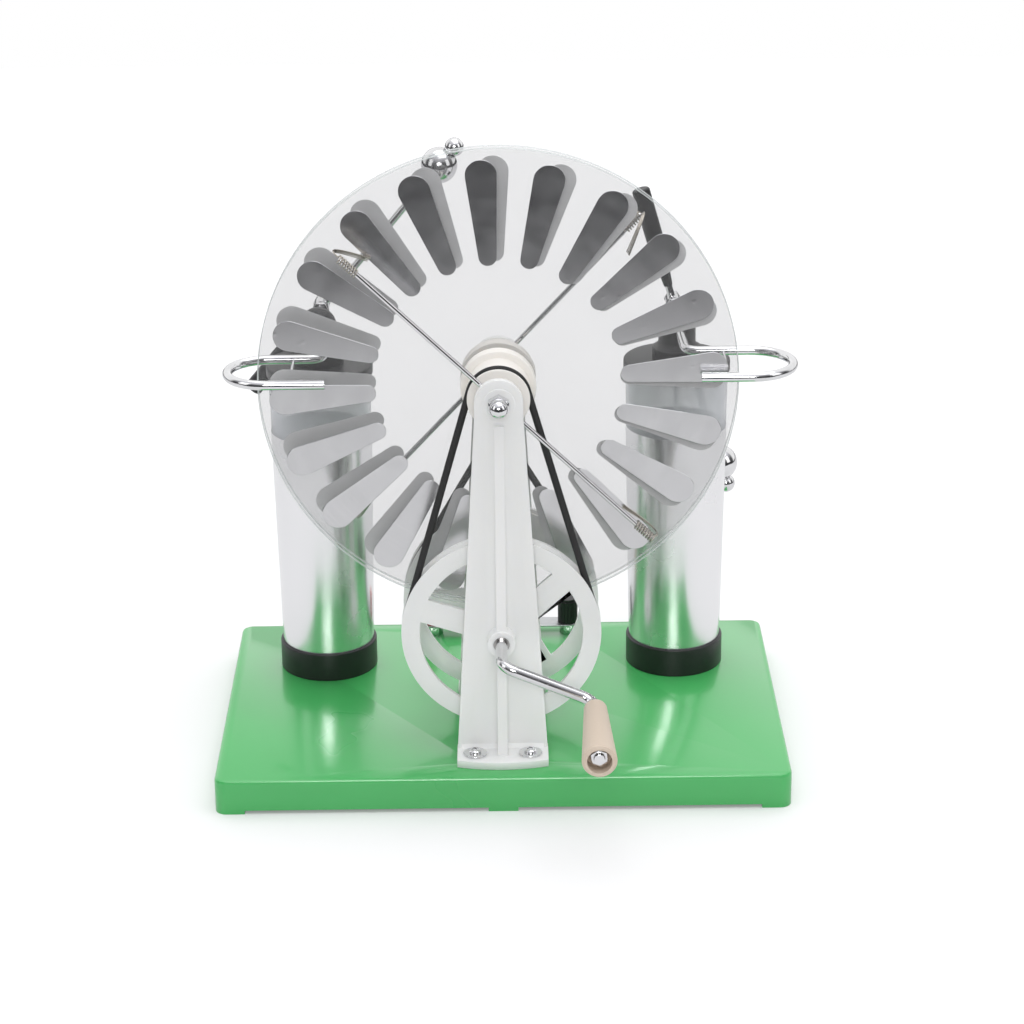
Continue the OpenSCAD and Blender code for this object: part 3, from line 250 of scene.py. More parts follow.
soft_lamp("overhead", place=(0.2, 0.1, 1.7), aim=(0, 0, 0.1), size=(1.8, 1.4), power=10)
soft_lamp("left", place=(-1.4, -0.7, 0.9), aim=(0, 0, 0.15), size=(0.7, 1.1), power=3)
soft_lamp("right", place=(1.4, -0.7, 0.9), aim=(0, 0, 0.15), size=(0.7, 1.1), power=3)
soft_lamp("key", place=(0, -3.1, 1.5), aim=(0, 0, 0.15), size=(1.3, 0.7), power=34)

# %% [markdown]
# ## Shared effects
# Three effects turn up in many of the finishes, so each is a node group with named sockets.
# Moulding skin gives plastic its faint orange peel and a slow drift, handling marks dull a polished surface
# in cloudy patches, and fine scratches draw thin lines in two directions. A group hands out only masks and
# values. Each material keeps its own Principled shader, which the groups feed.

# %% Groups for the shared effects
CLOUD_LOW, CLOUD_HIGH = 0.42, 0.68
LINE_LOW, LINE_HIGH = 0.68, 0.74


def effect(name, inputs, outputs):
    """A shader node group with number sockets: the tree, what it is given, and its output node."""
    tree = bpy.data.node_groups.new(name, "ShaderNodeTree")
    for label, value in inputs.items():
        tree.interface.new_socket(label, in_out="INPUT", socket_type="NodeSocketFloat").default_value = value
    for label in outputs:
        tree.interface.new_socket(label, in_out="OUTPUT", socket_type="NodeSocketFloat")
    return tree, add_node(tree, "NodeGroupInput").outputs, add_node(tree, "NodeGroupOutput")


def noise_at(tree, scale, detail, stretch=None, turn=(0, 0, 0)):
    """Noise on the piece's own coordinates, stretched and turned where asked."""
    coords = add_node(tree, "ShaderNodeTexCoord").outputs["Object"]
    if stretch:
        lay = add_node(tree, "ShaderNodeMapping", {"Vector": coords, "Rotation": turn, "Scale": stretch})
        coords = lay.outputs["Vector"]
    noise = add_node(tree, "ShaderNodeTexNoise", {"Vector": coords, "Scale": scale, "Detail": detail})
    return noise.outputs["Fac"]


skin_tree, given, result = effect(
    "moulding skin", {"Scale": 900.0, "Depth": 0.3, "Patch scale": 14.0}, ("Height", "Patches"))
fine = noise_at(skin_tree, given["Scale"], detail=3)
feed(result, {"Height": remap(skin_tree, fine, 0.3, 0.7, 0.0, given["Depth"]),
              "Patches": noise_at(skin_tree, given["Patch scale"], detail=2)})

marks_tree, given, result = effect(
    "handling marks", {"Scale": 30.0, "Clean": 0.1, "Dulled": 0.25}, ("Roughness", "Mask"))
cloud = noise_at(marks_tree, given["Scale"], detail=5)
feed(result, {"Roughness": remap(marks_tree, cloud, CLOUD_LOW, CLOUD_HIGH, given["Clean"], given["Dulled"]),
              "Mask": remap(marks_tree, cloud, CLOUD_LOW, CLOUD_HIGH, 0.0, 1.0)})

scratch_tree, given, result = effect("fine scratches", {"Scale": 120.0, "Amount": 0.5}, ("Lines",))
lines = []
for stretch, turn in (((1, 0.2, 26), (0, 0.5, 0)), ((24, 0.2, 1), (0, 0.35, 0))):
    streak = noise_at(scratch_tree, given["Scale"], detail=2, stretch=stretch, turn=turn)
    lines.append(remap(scratch_tree, streak, LINE_LOW, LINE_HIGH, 0.0, 1.0))
most = calculate(scratch_tree, "MAXIMUM", *lines)
feed(result, {"Lines": calculate(scratch_tree, "MULTIPLY", most, given["Amount"])})
print("effect groups:", [g.name for g in bpy.data.node_groups])

# %% [markdown]
# ## Finishes
# A finish is a material with one Principled shader. What changes from finish to finish is what feeds it, so
# the start, the placing of an effect, the bump and the mix of two colours are helpers, and each recipe below
# shows only its own choices.


# %% A start for every finish
def finish_start(name, color, roughness, metallic=0.0):
    """A material with a Principled shader: the material, its tree and the shader."""
    material = empty_material(name)
    tree = material.node_tree
    shader = add_node(tree, "ShaderNodeBsdfPrincipled", {
        "Base Color": (*color, 1), "Roughness": roughness, "Metallic": metallic})
    add_node(tree, "ShaderNodeOutputMaterial", {"Surface": shader.outputs[0]})
    return material, tree, shader


def placed(tree, kind, **values):
    """Puts an effect into a finish with its own values. Its outputs are handed back."""
    sources = {label.replace("_", " "): value for label, value in values.items()}
    return add_node(tree, "ShaderNodeGroup", sources, node_tree=kind).outputs


def bump(tree, shader, height, distance, strength=1.0):
    node = add_node(tree, "ShaderNodeBump", {"Height": height, "Distance": distance, "Strength": strength})
    feed(shader, {"Normal": node.outputs["Normal"]})


def two_tone(tree, factor, first, second):
    sources = {"Factor": factor, "A": (*first, 1), "B": (*second, 1)}
    return add_node(tree, "ShaderNodeMix", sources, data_type="RGBA").outputs["Result"]


print("helpers:", [f.__name__ for f in (finish_start, placed, bump, two_tone)])

# %% [markdown]
# ### Moulded plastics
# The base is glossy green plastic. The uprights and wheels are a milky one that lets a little light in, and
# the hubs and clamp rings a creamier one. Caps and handles are black with a fine skin, one knob is red, and
# the crank's grip is beige. Colour drifts slightly over a moulding and a light orange peel breaks up the
# reflections. An image could carry that, but noise has no seams and fits every shape, so all of them share
# one recipe of noise with their own numbers.

# %% Moulded plastics
finishes = {}
SKIN_DEPTH = 0.00006
PATCH_SCALE = 16.0
COAT_ROUGHNESS = 0.12
MILK_REACH = 0.004
MILK_TINT = (1.0, 0.95, 0.85)


def moulded(slot, color, drift, roughness, spread, depth, scale=900.0, milk=0.0, coat=0.0):
    material, tree, shader = finish_start(slot, color, roughness)
    skin = placed(tree, skin_tree, Scale=scale, Depth=depth, Patch_scale=PATCH_SCALE)
    other = tuple(min(1.0, c * drift) for c in color)
    patches = remap(tree, skin["Patches"], 0.2, 0.8, 0.0, 1.0)
    gloss = remap(tree, skin["Patches"], 0.2, 0.8, roughness - spread, roughness + spread)
    feed(shader, {"Base Color": two_tone(tree, patches, color, other), "Roughness": gloss,
                  "Coat Weight": coat, "Coat Roughness": COAT_ROUGHNESS})
    bump(tree, shader, skin["Height"], SKIN_DEPTH)
    if milk:
        feed(shader, {"Subsurface Weight": milk, "Subsurface Radius": MILK_TINT,
                      "Subsurface Scale": MILK_REACH})
    finishes[slot] = material


moulded("green plastic", (0.060, 0.43, 0.112), drift=1.10, roughness=0.30, spread=0.05, depth=0.12,
        scale=500, coat=0.6)
moulded("milk plastic", (0.82, 0.825, 0.815), drift=1.03, roughness=0.34, spread=0.06, depth=0.25,
        scale=700, milk=0.35)
moulded("cream plastic", (0.85, 0.82, 0.775), drift=1.03, roughness=0.36, spread=0.06, depth=0.25,
        scale=700, milk=0.3)
moulded("black plastic", (0.012, 0.012, 0.013), drift=1.5, roughness=0.38, spread=0.08, depth=0.5, scale=1400)
moulded("red plastic", (0.50, 0.018, 0.014), drift=1.2, roughness=0.30, spread=0.06, depth=0.3)
moulded("beige plastic", (0.60, 0.50, 0.40), drift=1.08, roughness=0.42, spread=0.07, depth=0.5, scale=800)
print("plastics:", list(finishes))

# %% [markdown]
# ### Polished metals
# The rods, balls, nuts and screws are plated and polished. A perfect mirror would look drawn, so cloudy
# handling marks dull the gloss and a few scratches cross it. The brush wire, the shaft bushes and the link
# strip are duller metals. They differ only in colour and wear, so they share a recipe too.

# %% Plated steel, brush wire, shaft bushes and the link strip
DULLED_SHADE = 0.9
SCRATCH_DEPTH = 0.00001


def plated(slot, color, clean, dulled, scratch):
    material, tree, shader = finish_start(slot, color, clean, metallic=1.0)
    marks = placed(tree, marks_tree, Scale=60.0, Clean=clean, Dulled=dulled)
    cuts = placed(tree, scratch_tree, Scale=90.0, Amount=scratch)
    darker = tuple(c * DULLED_SHADE for c in color)
    feed(shader, {"Base Color": two_tone(tree, marks["Mask"], color, darker),
                  "Roughness": calculate(tree, "MAXIMUM", marks["Roughness"], cuts["Lines"])})
    bump(tree, shader, cuts["Lines"], SCRATCH_DEPTH)
    finishes[slot] = material


plated("plated steel", (0.74, 0.74, 0.75), clean=0.09, dulled=0.20, scratch=0.3)
plated("brush wire", (0.46, 0.43, 0.38), clean=0.24, dulled=0.36, scratch=0.3)
plated("shaft bush", (0.40, 0.39, 0.38), clean=0.28, dulled=0.42, scratch=0.3)
plated("link strip", (0.50, 0.51, 0.52), clean=0.32, dulled=0.48, scratch=0.5)
print("with the metals:", len(finishes), "finishes")

# %% [markdown]
# ### Foils
# The sectors are cut from thin aluminium foil with a few faint dents. The brushes sweep them at every turn,
# so their marks run round the axle. A pattern on plain coordinates would run across the sectors, so the marks
# are drawn on coordinates that run round the axle and outwards from it. The glued side shows through the
# clear disc, flat and pale. The jars wear a brighter foil that follows the wall with faint upright ripples.

# %% Sector foil
AXLE_Z = joints["front_disc_spin"]["pos_m"][2]


def round_the_axle(tree, along, outward):
    """Coordinates that run round the axle and outwards from it, scaled by along and outward."""
    spot = add_node(tree, "ShaderNodeTexCoord").outputs["Object"]
    centred = add_node(tree, "ShaderNodeMapping", {"Vector": spot, "Location": (0, 0, -AXLE_Z)})
    parts = add_node(tree, "ShaderNodeSeparateXYZ", {0: centred.outputs[0]}).outputs
    flat = add_node(tree, "ShaderNodeCombineXYZ", {"X": parts["X"], "Z": parts["Z"]})
    reach = add_node(tree, "ShaderNodeVectorMath", {0: flat.outputs[0]}, operation="LENGTH").outputs["Value"]
    angle = calculate(tree, "ARCTAN2", parts["Z"], parts["X"])
    both = add_node(tree, "ShaderNodeCombineXYZ", {
        "X": calculate(tree, "MULTIPLY", angle, along),
        "Y": calculate(tree, "MULTIPLY", reach, outward), "Z": parts["Y"]})
    return both.outputs[0]


tracks_tree, given, result = effect(
    "brush tracks", {"Detail": 4.0, "Low": 0.45, "High": 0.75}, ("Tracks", "Clouds"))
tracks = add_node(tracks_tree, "ShaderNodeTexNoise", {
    "Vector": round_the_axle(tracks_tree, along=2.2, outward=2400.0), "Scale": 1.0,
    "Detail": given["Detail"]})
clouds = add_node(tracks_tree, "ShaderNodeTexNoise", {
    "Vector": round_the_axle(tracks_tree, along=5.0, outward=90.0), "Scale": 1.0})
feed(result, {"Tracks": remap(tracks_tree, tracks.outputs["Fac"], given["Low"], given["High"], 0.0, 1.0),
              "Clouds": remap(tracks_tree, clouds.outputs["Fac"], 0.3, 0.7, 0.0, 1.0)})

FOIL, FOIL_RUBBED = (0.60, 0.60, 0.61), (0.68, 0.68, 0.68)
material, tree, shader = finish_start("sector foil", FOIL, 0.22, metallic=1.0)
worn = placed(tree, tracks_tree, Detail=4.0, Low=0.50, High=0.90)
# Only the highest tops of the noise become dents
dents = remap(tree, noise_at(tree, scale=130.0, detail=2), 0.66, 0.78, 0.0, 1.0)
feed(shader, {"Base Color": two_tone(tree, worn["Tracks"], FOIL, FOIL_RUBBED),
              "Roughness": remap(tree, worn["Clouds"], 0.0, 1.0, 0.19, 0.25)})
bump(tree, shader, dents, distance=0.00008, strength=0.25)
finishes["sector foil"] = material

foil_back, tree, shader = finish_start("sector foil back", (0.74, 0.74, 0.75), 0.45)
worn = placed(tree, tracks_tree)
feed(shader, {"Base Color": two_tone(tree, worn["Clouds"], (0.70, 0.70, 0.71), (0.78, 0.78, 0.79))})
print("foil finishes:", material.name, "and", foil_back.name)

# %% Jar foil
# Noise that is drawn out to ten times its length along the height gives upright ripples
DRAWN_UPWARDS = (1, 1, 0.10)
material, tree, shader = finish_start("jar foil", (0.84, 0.84, 0.85), 0.24, metallic=1.0)
marks = placed(tree, marks_tree, Scale=26.0, Clean=0.20, Dulled=0.30)
feed(shader, {"Roughness": marks["Roughness"]})
ripples = noise_at(tree, scale=22.0, detail=2, stretch=DRAWN_UPWARDS)
bump(tree, shader, ripples, distance=0.0005, strength=0.35)
finishes["jar foil"] = material
print("jar foil nodes:", len(tree.nodes))

# %% [markdown]
# ### Clear plastic and rubber
# A shader that bends light would suit a thick block. A clear sheet only 2 mm thick hardly bends what is
# behind it, so it is drawn as a thin veil: mostly see-through, a little grey, and stronger where it is seen
# edge on.
# That keeps the far pieces crisp and lit. The discs' grey is partly the slight dimming of clear sheet and
# partly painted shade over everything seen through them.
# Light gathers in the cut rim of a clear sheet, so the rim has a denser finish of its own. Light on its way
# to the pieces behind passes almost freely, as it does through real clear plastic.
# The belts are black rubber, dull, with an uneven skin.

# %% Clear finishes and rubber
SHADOW_SHARE = 0.12
EDGE_BLEND = 0.25


def veil(name, color, least, most, roughness):
    """A see-through finish: least is how much it covers when it is seen face on, most when edge on."""
    material, tree, shader = finish_start(name, color, roughness)
    edge = add_node(tree, "ShaderNodeLayerWeight", {"Blend": EDGE_BLEND})
    cover = remap(tree, edge.outputs["Facing"], 0.0, 1.0, least, most)
    path = add_node(tree, "ShaderNodeLightPath").outputs
    passing = calculate(tree, "MAXIMUM", path["Is Shadow Ray"], path["Is Diffuse Ray"])
    share = remap(tree, passing, 0.0, 1.0, 1.0, SHADOW_SHARE)
    marks = placed(tree, marks_tree, Scale=18.0, Clean=roughness, Dulled=roughness + 0.08)
    feed(shader, {"Alpha": calculate(tree, "MULTIPLY", cover, share), "Roughness": marks["Roughness"]})
    return material


# The dark grey of the disc veil is partly the dimming of clear sheet and partly painted shade on what lies
# behind
finishes["clear disc"] = veil("clear disc", (0.22, 0.22, 0.22), least=0.08, most=0.6, roughness=0.06)
disc_rim = veil("clear disc rim", (0.62, 0.66, 0.65), least=0.55, most=0.8, roughness=0.15)
finishes["clear jar"] = veil("clear jar", (0.88, 0.91, 0.95), least=0.34, most=0.85, roughness=0.06)

RUBBER, RUBBER_WORN = (0.010, 0.010, 0.010), (0.022, 0.022, 0.022)
material, tree, shader = finish_start("belt rubber", (0.012, 0.012, 0.012), 0.62)
skin = placed(tree, skin_tree, Scale=1500.0, Depth=0.9, Patch_scale=40.0)
feed(shader, {"Base Color": two_tone(tree, skin["Patches"], RUBBER, RUBBER_WORN),
              "Roughness": remap(tree, skin["Patches"], 0.3, 0.7, 0.5, 0.72)})
bump(tree, shader, skin["Height"], distance=0.00008)
finishes["belt rubber"] = material
print("finishes:", sorted(finishes))

# %% [markdown]
# ### Finishes on the solids
# Every solid of the frame names a material slot, and the finishes carry the same names. The hubs and clamp
# rings share the slot of the uprights, but the photograph shows them creamier, so they are picked by name.

# %% Give every solid its finish
CREAM_PIECES = ("front_hub", "rear_hub", "front_clamp_ring", "rear_clamp_ring")
for name, obj in nodes.items():
    obj.data.materials.clear()
    obj.data.materials.append(finishes["cream plastic" if name in CREAM_PIECES else slot_of[name]])
print("solids with a finish:", sum(len(o.data.materials) == 1 for o in nodes.values()))

# %% [markdown]
# ## Softened edges
# A real moulding or turned part has no razor edges, and the eye reads the thin highlight on a small round
# as solid material. The rounds could be part of the solids, but they are too small to carry anything, so they
# are made here. Each solid that shows its edges is copied, its loose triangles are joined, and a narrow bevel
# rounds every sharp edge. The copy takes the solid's place in the picture and moves with the same body.

# %% Softened copies
BEVEL_STEPS = 3
BEVEL_ABOVE = math.radians(32)
SAME_POINT = 2e-6
SAME_PLANE = math.radians(0.5)


def baked(obj, name):
    """The evaluated object as a plain mesh object. The first one is removed."""
    bpy.context.view_layer.update()
    depsgraph = bpy.context.evaluated_depsgraph_get()
    mesh = bpy.data.meshes.new_from_object(obj.evaluated_get(depsgraph))
    mesh.name = name
    bpy.data.objects.remove(obj)
    return plain_object(name, mesh)


def smooth_below(mesh, degrees):
    """Shades a mesh smoothly, except across edges that are sharper than the given angle."""
    mesh.shade_smooth()
    mesh.set_sharp_from_angle(angle=math.radians(degrees))


def place_piece(piece, body, slot, *replaced):
    """The piece moves with a body and stands in for the solids that are listed. The slot is not used."""
    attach(piece, body)
    if replaced:
        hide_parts(*replaced)


def soften(node, width):
    """A copy of a solid with a narrow round on its sharp edges, in the solid's place."""
    mesh = nodes[node].data.copy()
    work = bmesh.new()
    work.from_mesh(mesh)
    bmesh.ops.remove_doubles(work, verts=work.verts, dist=SAME_POINT)
    bmesh.ops.dissolve_limit(work, angle_limit=SAME_PLANE, verts=work.verts, edges=work.edges)
    work.to_mesh(mesh)
    work.free()
    if mesh.attributes.get("custom_normal"):
        mesh.attributes.remove(mesh.attributes["custom_normal"])
    rough = plain_object("rough", mesh)
    bevel = rough.modifiers.new("round edges", "BEVEL")
    bevel.width = width
    bevel.segments = BEVEL_STEPS
    bevel.limit_method = "ANGLE"
    bevel.angle_limit = BEVEL_ABOVE
    bevel.use_clamp_overlap = True
    piece = baked(rough, node + "_soft")
    smooth_below(piece.data, degrees=38)
    place_piece(piece, body_of[node], slot_of[node], node)


SOFT_EDGES = {
    0.0008: ("base",),
    0.0006: ("front_upright", "rear_upright"),
    0.0004: ("front_drive_wheel", "rear_drive_wheel", "front_hub", "rear_hub"),
    0.0003: ("left_jar_cap", "right_jar_cap", "left_lid", "right_lid"),
    0.00025: ("upright_screws", "axle_cap_nuts", "upright_washers", "collector_end_nuts", "terminal_nuts",
              "link_strip", "shaft_collar", "grip_nut"),
}
for width, names in SOFT_EDGES.items():
    for name in names:
        soften(name, width)
print("softened:", sum(len(v) for v in SOFT_EDGES.values()))

# %% [markdown]
# ## Geometry Nodes
# Three kinds of piece follow a rule: the discs are spun, the foil sectors repeat round the axle, and belts
# and wires follow a path. Each rule is a tree that is built here with named inputs and run on a small mesh.
# The result is baked to a plain mesh, its faces are turned outwards and its sharp edges are marked. Loops
# could place every point as well, but a tree is built once and then run with other numbers for each piece.


# %% Helpers that build and run a tree
def geometry_tree(name, inputs):
    """A geometry tree with named inputs: the tree, what it is given, and its output node."""
    tree = bpy.data.node_groups.new(name, "GeometryNodeTree")
    tree.interface.new_socket("Geometry", in_out="INPUT", socket_type="NodeSocketGeometry")
    for label, kind, value in inputs:
        socket = tree.interface.new_socket(label, in_out="INPUT", socket_type="NodeSocket" + kind)
        if value is not None:
            socket.default_value = value
    tree.interface.new_socket("Geometry", in_out="OUTPUT", socket_type="NodeSocketGeometry")
    return tree, add_node(tree, "NodeGroupInput").outputs, add_node(tree, "NodeGroupOutput")


def painted(tree, geometry, material):
    """The end of a tree: copies become real faces, and all of them get the material."""
    real = add_node(tree, "GeometryNodeRealizeInstances", {0: geometry})
    paint = add_node(tree, "GeometryNodeSetMaterial", {"Geometry": real.outputs[0], "Material": material})
    return paint.outputs[0]


def drop_empty_slots(mesh):
    """Takes the unused first slot away that a tree leaves on a mesh which had no material."""
    kept = [m for m in mesh.materials if m]
    gone = len(mesh.materials) - len(kept)
    places = [max(face.material_index - gone, 0) for face in mesh.polygons]
    mesh.materials.clear()
    for material in kept:
        mesh.materials.append(material)
    for face, place in zip(mesh.polygons, places):
        face.material_index = place


def run_tree(name, mesh, tree, **values):
    """Runs a tree on a mesh and hands the result back as a plain mesh object."""
    host = plain_object("host", mesh)
    modifier = host.modifiers.new("make", "NODES")
    modifier.node_group = tree
    for item in tree.interface.items_tree:
        key = item.name.replace(" ", "_")
        if item.in_out == "INPUT" and key in values:
            modifier[item.identifier] = values[key]
    piece = baked(host, name)
    drop_empty_slots(piece.data)
    return piece


def face_outwards(mesh):
    """Turns every face of a closed mesh to the outside."""
    work = bmesh.new()
    work.from_mesh(mesh)
    bmesh.ops.recalc_face_normals(work, faces=work.faces)
    work.to_mesh(mesh)
    work.free()


print("tree helpers:", [f.__name__ for f in (geometry_tree, painted, run_tree, face_outwards)])

# %% [markdown]
# ### The discs
# A disc is a flat ring cut from clear sheet, with barely rounded rims. The tree lays out a grid with one row
# for each step round the axle and one column for each point of the profile, then moves every point of the
# grid to its place. A cylinder would do for the sheet, but a profile also gives the rounded rim, and the tree
# can give that rim a finish of its own.

# %% The spun profile
spin_tree, given, result = geometry_tree("spun profile", (
    ("Steps", "Int", 128), ("Rim from", "Float", 1.0), ("Material", "Material", None),
    ("Rim material", "Material", None)))
points = add_node(spin_tree, "GeometryNodeAttributeDomainSize", {"Geometry": given["Geometry"]})
rows = calculate(spin_tree, "ADD", given["Steps"], 1)
grid = add_node(spin_tree, "GeometryNodeMeshGrid", {
    "Vertices X": points.outputs["Point Count"], "Vertices Y": rows})
index = add_node(spin_tree, "GeometryNodeInputIndex").outputs[0]
position = add_node(spin_tree, "GeometryNodeInputPosition").outputs[0]
on_profile = calculate(spin_tree, "FLOOR", calculate(spin_tree, "DIVIDE", index, rows))
step = calculate(spin_tree, "SUBTRACT", index, calculate(spin_tree, "MULTIPLY", on_profile, rows))
angle = calculate(spin_tree, "MULTIPLY", calculate(spin_tree, "DIVIDE", step, given["Steps"]), 2 * math.pi)
sample = add_node(spin_tree, "GeometryNodeSampleIndex", {
    "Geometry": given["Geometry"], "Value": position, "Index": on_profile},
    data_type="FLOAT_VECTOR", domain="POINT")
profile = add_node(spin_tree, "ShaderNodeSeparateXYZ", {0: sample.outputs["Value"]}).outputs
spot = add_node(spin_tree, "ShaderNodeCombineXYZ", {
    "X": calculate(spin_tree, "MULTIPLY", profile["X"], calculate(spin_tree, "COSINE", angle)),
    "Y": profile["Y"],
    "Z": calculate(spin_tree, "MULTIPLY", profile["X"], calculate(spin_tree, "SINE", angle))})
move = add_node(spin_tree, "GeometryNodeSetPosition", {
    "Geometry": grid.outputs["Mesh"], "Position": spot.outputs[0]})
join = add_node(spin_tree, "GeometryNodeMergeByDistance", {"Geometry": move.outputs[0], "Distance": 1e-6})
sheet = painted(spin_tree, join.outputs[0], given["Material"])
there = add_node(spin_tree, "ShaderNodeSeparateXYZ", {0: position}).outputs
squares = [calculate(spin_tree, "MULTIPLY", there[axis], there[axis]) for axis in ("X", "Z")]
reach = calculate(spin_tree, "SQRT", calculate(spin_tree, "ADD", *squares))
rim = add_node(spin_tree, "GeometryNodeSetMaterial", {
    "Geometry": sheet, "Selection": calculate(spin_tree, "GREATER_THAN", reach, given["Rim from"]),
    "Material": given["Rim material"]})
feed(result, {0: rim.outputs[0]})
print(spin_tree.name, "has", len(spin_tree.nodes), "nodes")

# %% The two clear discs
DISC_BORE_R = 0.00805
DISC_ROUND = 0.0004
DISC_STEPS = 256
RIM_WIDTH = 0.0005


def rounded(points, radius, steps=4):
    """A profile with its corners rounded, except at its two ends. A round takes less than half a side."""
    out = [Vector(points[0])]
    for before, corner, after in zip(points, points[1:], points[2:]):
        before, corner, after = Vector(before), Vector(corner), Vector(after)
        r = min(radius, (before - corner).length * 0.45, (after - corner).length * 0.45)
        a = corner + (before - corner).normalized() * r
        b = corner + (after - corner).normalized() * r
        for i in range(steps + 1):
            t = i / steps
            out.append(a * (1 - t) ** 2 + corner * 2 * t * (1 - t) + b * t ** 2)
    out.append(Vector(points[-1]))
    return out


def spun(name, ring, steps, finish, rim, rim_from):
    """A closed profile of reach and depth, spun round the middle with a finish of its own for the rim."""
    mesh = bpy.data.meshes.new("profile")
    mesh.from_pydata([(x, y, 0) for x, y in ring + ring[:1]], [(i, i + 1) for i in range(len(ring))], [])
    piece = run_tree(name, mesh, spin_tree, Steps=steps, Rim_from=rim_from, Material=finish, Rim_material=rim)
    face_outwards(piece.data)
    smooth_below(piece.data, degrees=40)
    return piece


def lift_to_axle(piece):
    piece.data.transform(Matrix.Translation((0, 0, AXLE_Z)))


for side in ("front", "rear"):
    low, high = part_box(side + "_disc")
    radius = (high.x - low.x) / 2
    start = (DISC_BORE_R, (low.y + high.y) / 2)
    corners = [(DISC_BORE_R, low.y), (radius, low.y), (radius, high.y), (DISC_BORE_R, high.y)]
    ring = rounded([start, *corners, start], DISC_ROUND)[:-1]
    disc = spun(side + "_disc_sheet", ring, DISC_STEPS, finishes["clear disc"], disc_rim, radius - RIM_WIDTH)
    lift_to_axle(disc)
    place_piece(disc, side + "_disc_set", "clear disc", side + "_disc")
    print(disc.name, "radius", round(radius, 4), "faces", len(disc.data.polygons))

# %% [markdown]
# ### The foil sectors
# Each disc carries a ring of foil sectors, all alike. They could be modelled one by one, but then a change
# would have to be made twenty times. One sector is drawn as a thin, softly rounded leaf, and a tree turns
# copies of it round the axle. The count and the first copy's turn are inputs.
# The leaf stands off the disc by the thickness of its glue, because two faces in one place would flicker.

# %% A ring of turned copies
ring_tree, given, result = geometry_tree("ring of copies", (
    ("Count", "Int", 20), ("Turn", "Float", 0.0), ("Material", "Material", None)))
spots = add_node(ring_tree, "GeometryNodeMeshLine", {"Count": given["Count"], "Offset": (0, 0, 0)})
index = add_node(ring_tree, "GeometryNodeInputIndex").outputs[0]
step = calculate(ring_tree, "DIVIDE", 2 * math.pi, given["Count"])
angle = calculate(ring_tree, "ADD", calculate(ring_tree, "MULTIPLY", index, step), given["Turn"])
turn = add_node(ring_tree, "ShaderNodeCombineXYZ", {"Y": angle})
copies = add_node(ring_tree, "GeometryNodeInstanceOnPoints", {
    "Points": spots.outputs[0], "Instance": given["Geometry"], "Rotation": turn.outputs[0]})
feed(result, {0: painted(ring_tree, copies.outputs[0], given["Material"])})
print(ring_tree.name, "has", len(ring_tree.nodes), "nodes")

# %% Foil sectors
SECTORS = 20
SECTOR_OUT, SECTOR_IN = 0.1062, 0.0653
SECTOR_OUT_R, SECTOR_IN_R = 0.0078, 0.0045
FIRST_TURN = {"front": math.radians(3.9), "rear": math.radians(0.8)}
ARC_STEPS = 14
FOIL_THICK, FOIL_SOFT, GLUE = 0.0003, 0.00012, 0.00004


def sector_outline(inset):
    """A large arc at the outer end and a small one at the inner end, with straight sides between them."""
    lean = math.asin((SECTOR_OUT_R - SECTOR_IN_R) / (SECTOR_OUT - SECTOR_IN))
    side = math.pi / 2 + lean
    outline = []
    for middle, r, a0, a1 in ((SECTOR_OUT, SECTOR_OUT_R, -side, side),
                              (SECTOR_IN, SECTOR_IN_R, side, 2 * math.pi - side)):
        for i in range(ARC_STEPS + 1):
            a = a0 + (a1 - a0) * i / ARC_STEPS
            outline.append((middle + (r - inset) * math.cos(a), (r - inset) * math.sin(a)))
    return outline


def sector_leaf(y_disc, out):
    """One leaf, its back just off the disc at y_disc and its face towards out."""
    layers = ((0.0, GLUE), (0.0, FOIL_THICK - FOIL_SOFT), (FOIL_SOFT, FOIL_THICK))
    verts, faces = [], []
    for inset, rise in layers:
        verts += [(x, y_disc + out * rise, z) for x, z in sector_outline(inset)]
    n = len(verts) // len(layers)
    for layer in range(len(layers) - 1):
        for i in range(n):
            a, b = layer * n + i, layer * n + (i + 1) % n
            faces.append((a, b, b + n, a + n))
    faces += [tuple(range(n)), tuple(reversed(range(len(verts) - n, len(verts))))]
    mesh = bpy.data.meshes.new("leaf")
    mesh.from_pydata(verts, [], faces)
    face_outwards(mesh)
    return mesh


for side, out in (("front", -1), ("rear", 1)):
    low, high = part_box(side + "_disc")
    leaf = sector_leaf(low.y if out < 0 else high.y, out)
    foil = run_tree(side + "_foil_sectors", leaf, ring_tree, Count=SECTORS, Turn=-FIRST_TURN[side],
                    Material=finishes["sector foil"])
    foil.data.materials.append(foil_back)
    # The glued side is the one that faces the disc
    for face in foil.data.polygons:
        if face.normal.y * out < -0.5:
            face.material_index = len(foil.data.materials) - 1
    smooth_below(foil.data, degrees=30)
    lift_to_axle(foil)
    place_piece(foil, side + "_disc_set", "sector foil", side + "_sectors")
    print(foil.name, "faces", len(foil.data.polygons), [m.name for m in foil.data.materials])

# %% [markdown]
# ### Belts
# A round belt is a circle swept along a closed path, and a wire is one swept along an open path. A bent ring
# would lose its round section, so one tree does both: it turns a row of points into a curve and sweeps a
# circle along it. The front belt is open. The rear belt is crossed, which turns its disc the other way, and
# where its two runs pass each other, each of them swings aside by a little more than the belt's radius.

# %% The swept circle
sweep_tree, given, result = geometry_tree("swept circle", (
    ("Radius", "Float", 0.001), ("Sides", "Int", 12), ("Material", "Material", None)))
curve = add_node(sweep_tree, "GeometryNodeMeshToCurve", {"Mesh": given["Geometry"]})
circle = add_node(sweep_tree, "GeometryNodeCurvePrimitiveCircle", {
    "Resolution": given["Sides"], "Radius": given["Radius"]})
sweep = add_node(sweep_tree, "GeometryNodeCurveToMesh", {
    "Curve": curve.outputs[0], "Profile Curve": circle.outputs[0], "Fill Caps": True})
feed(result, {0: painted(sweep_tree, sweep.outputs[0], given["Material"])})


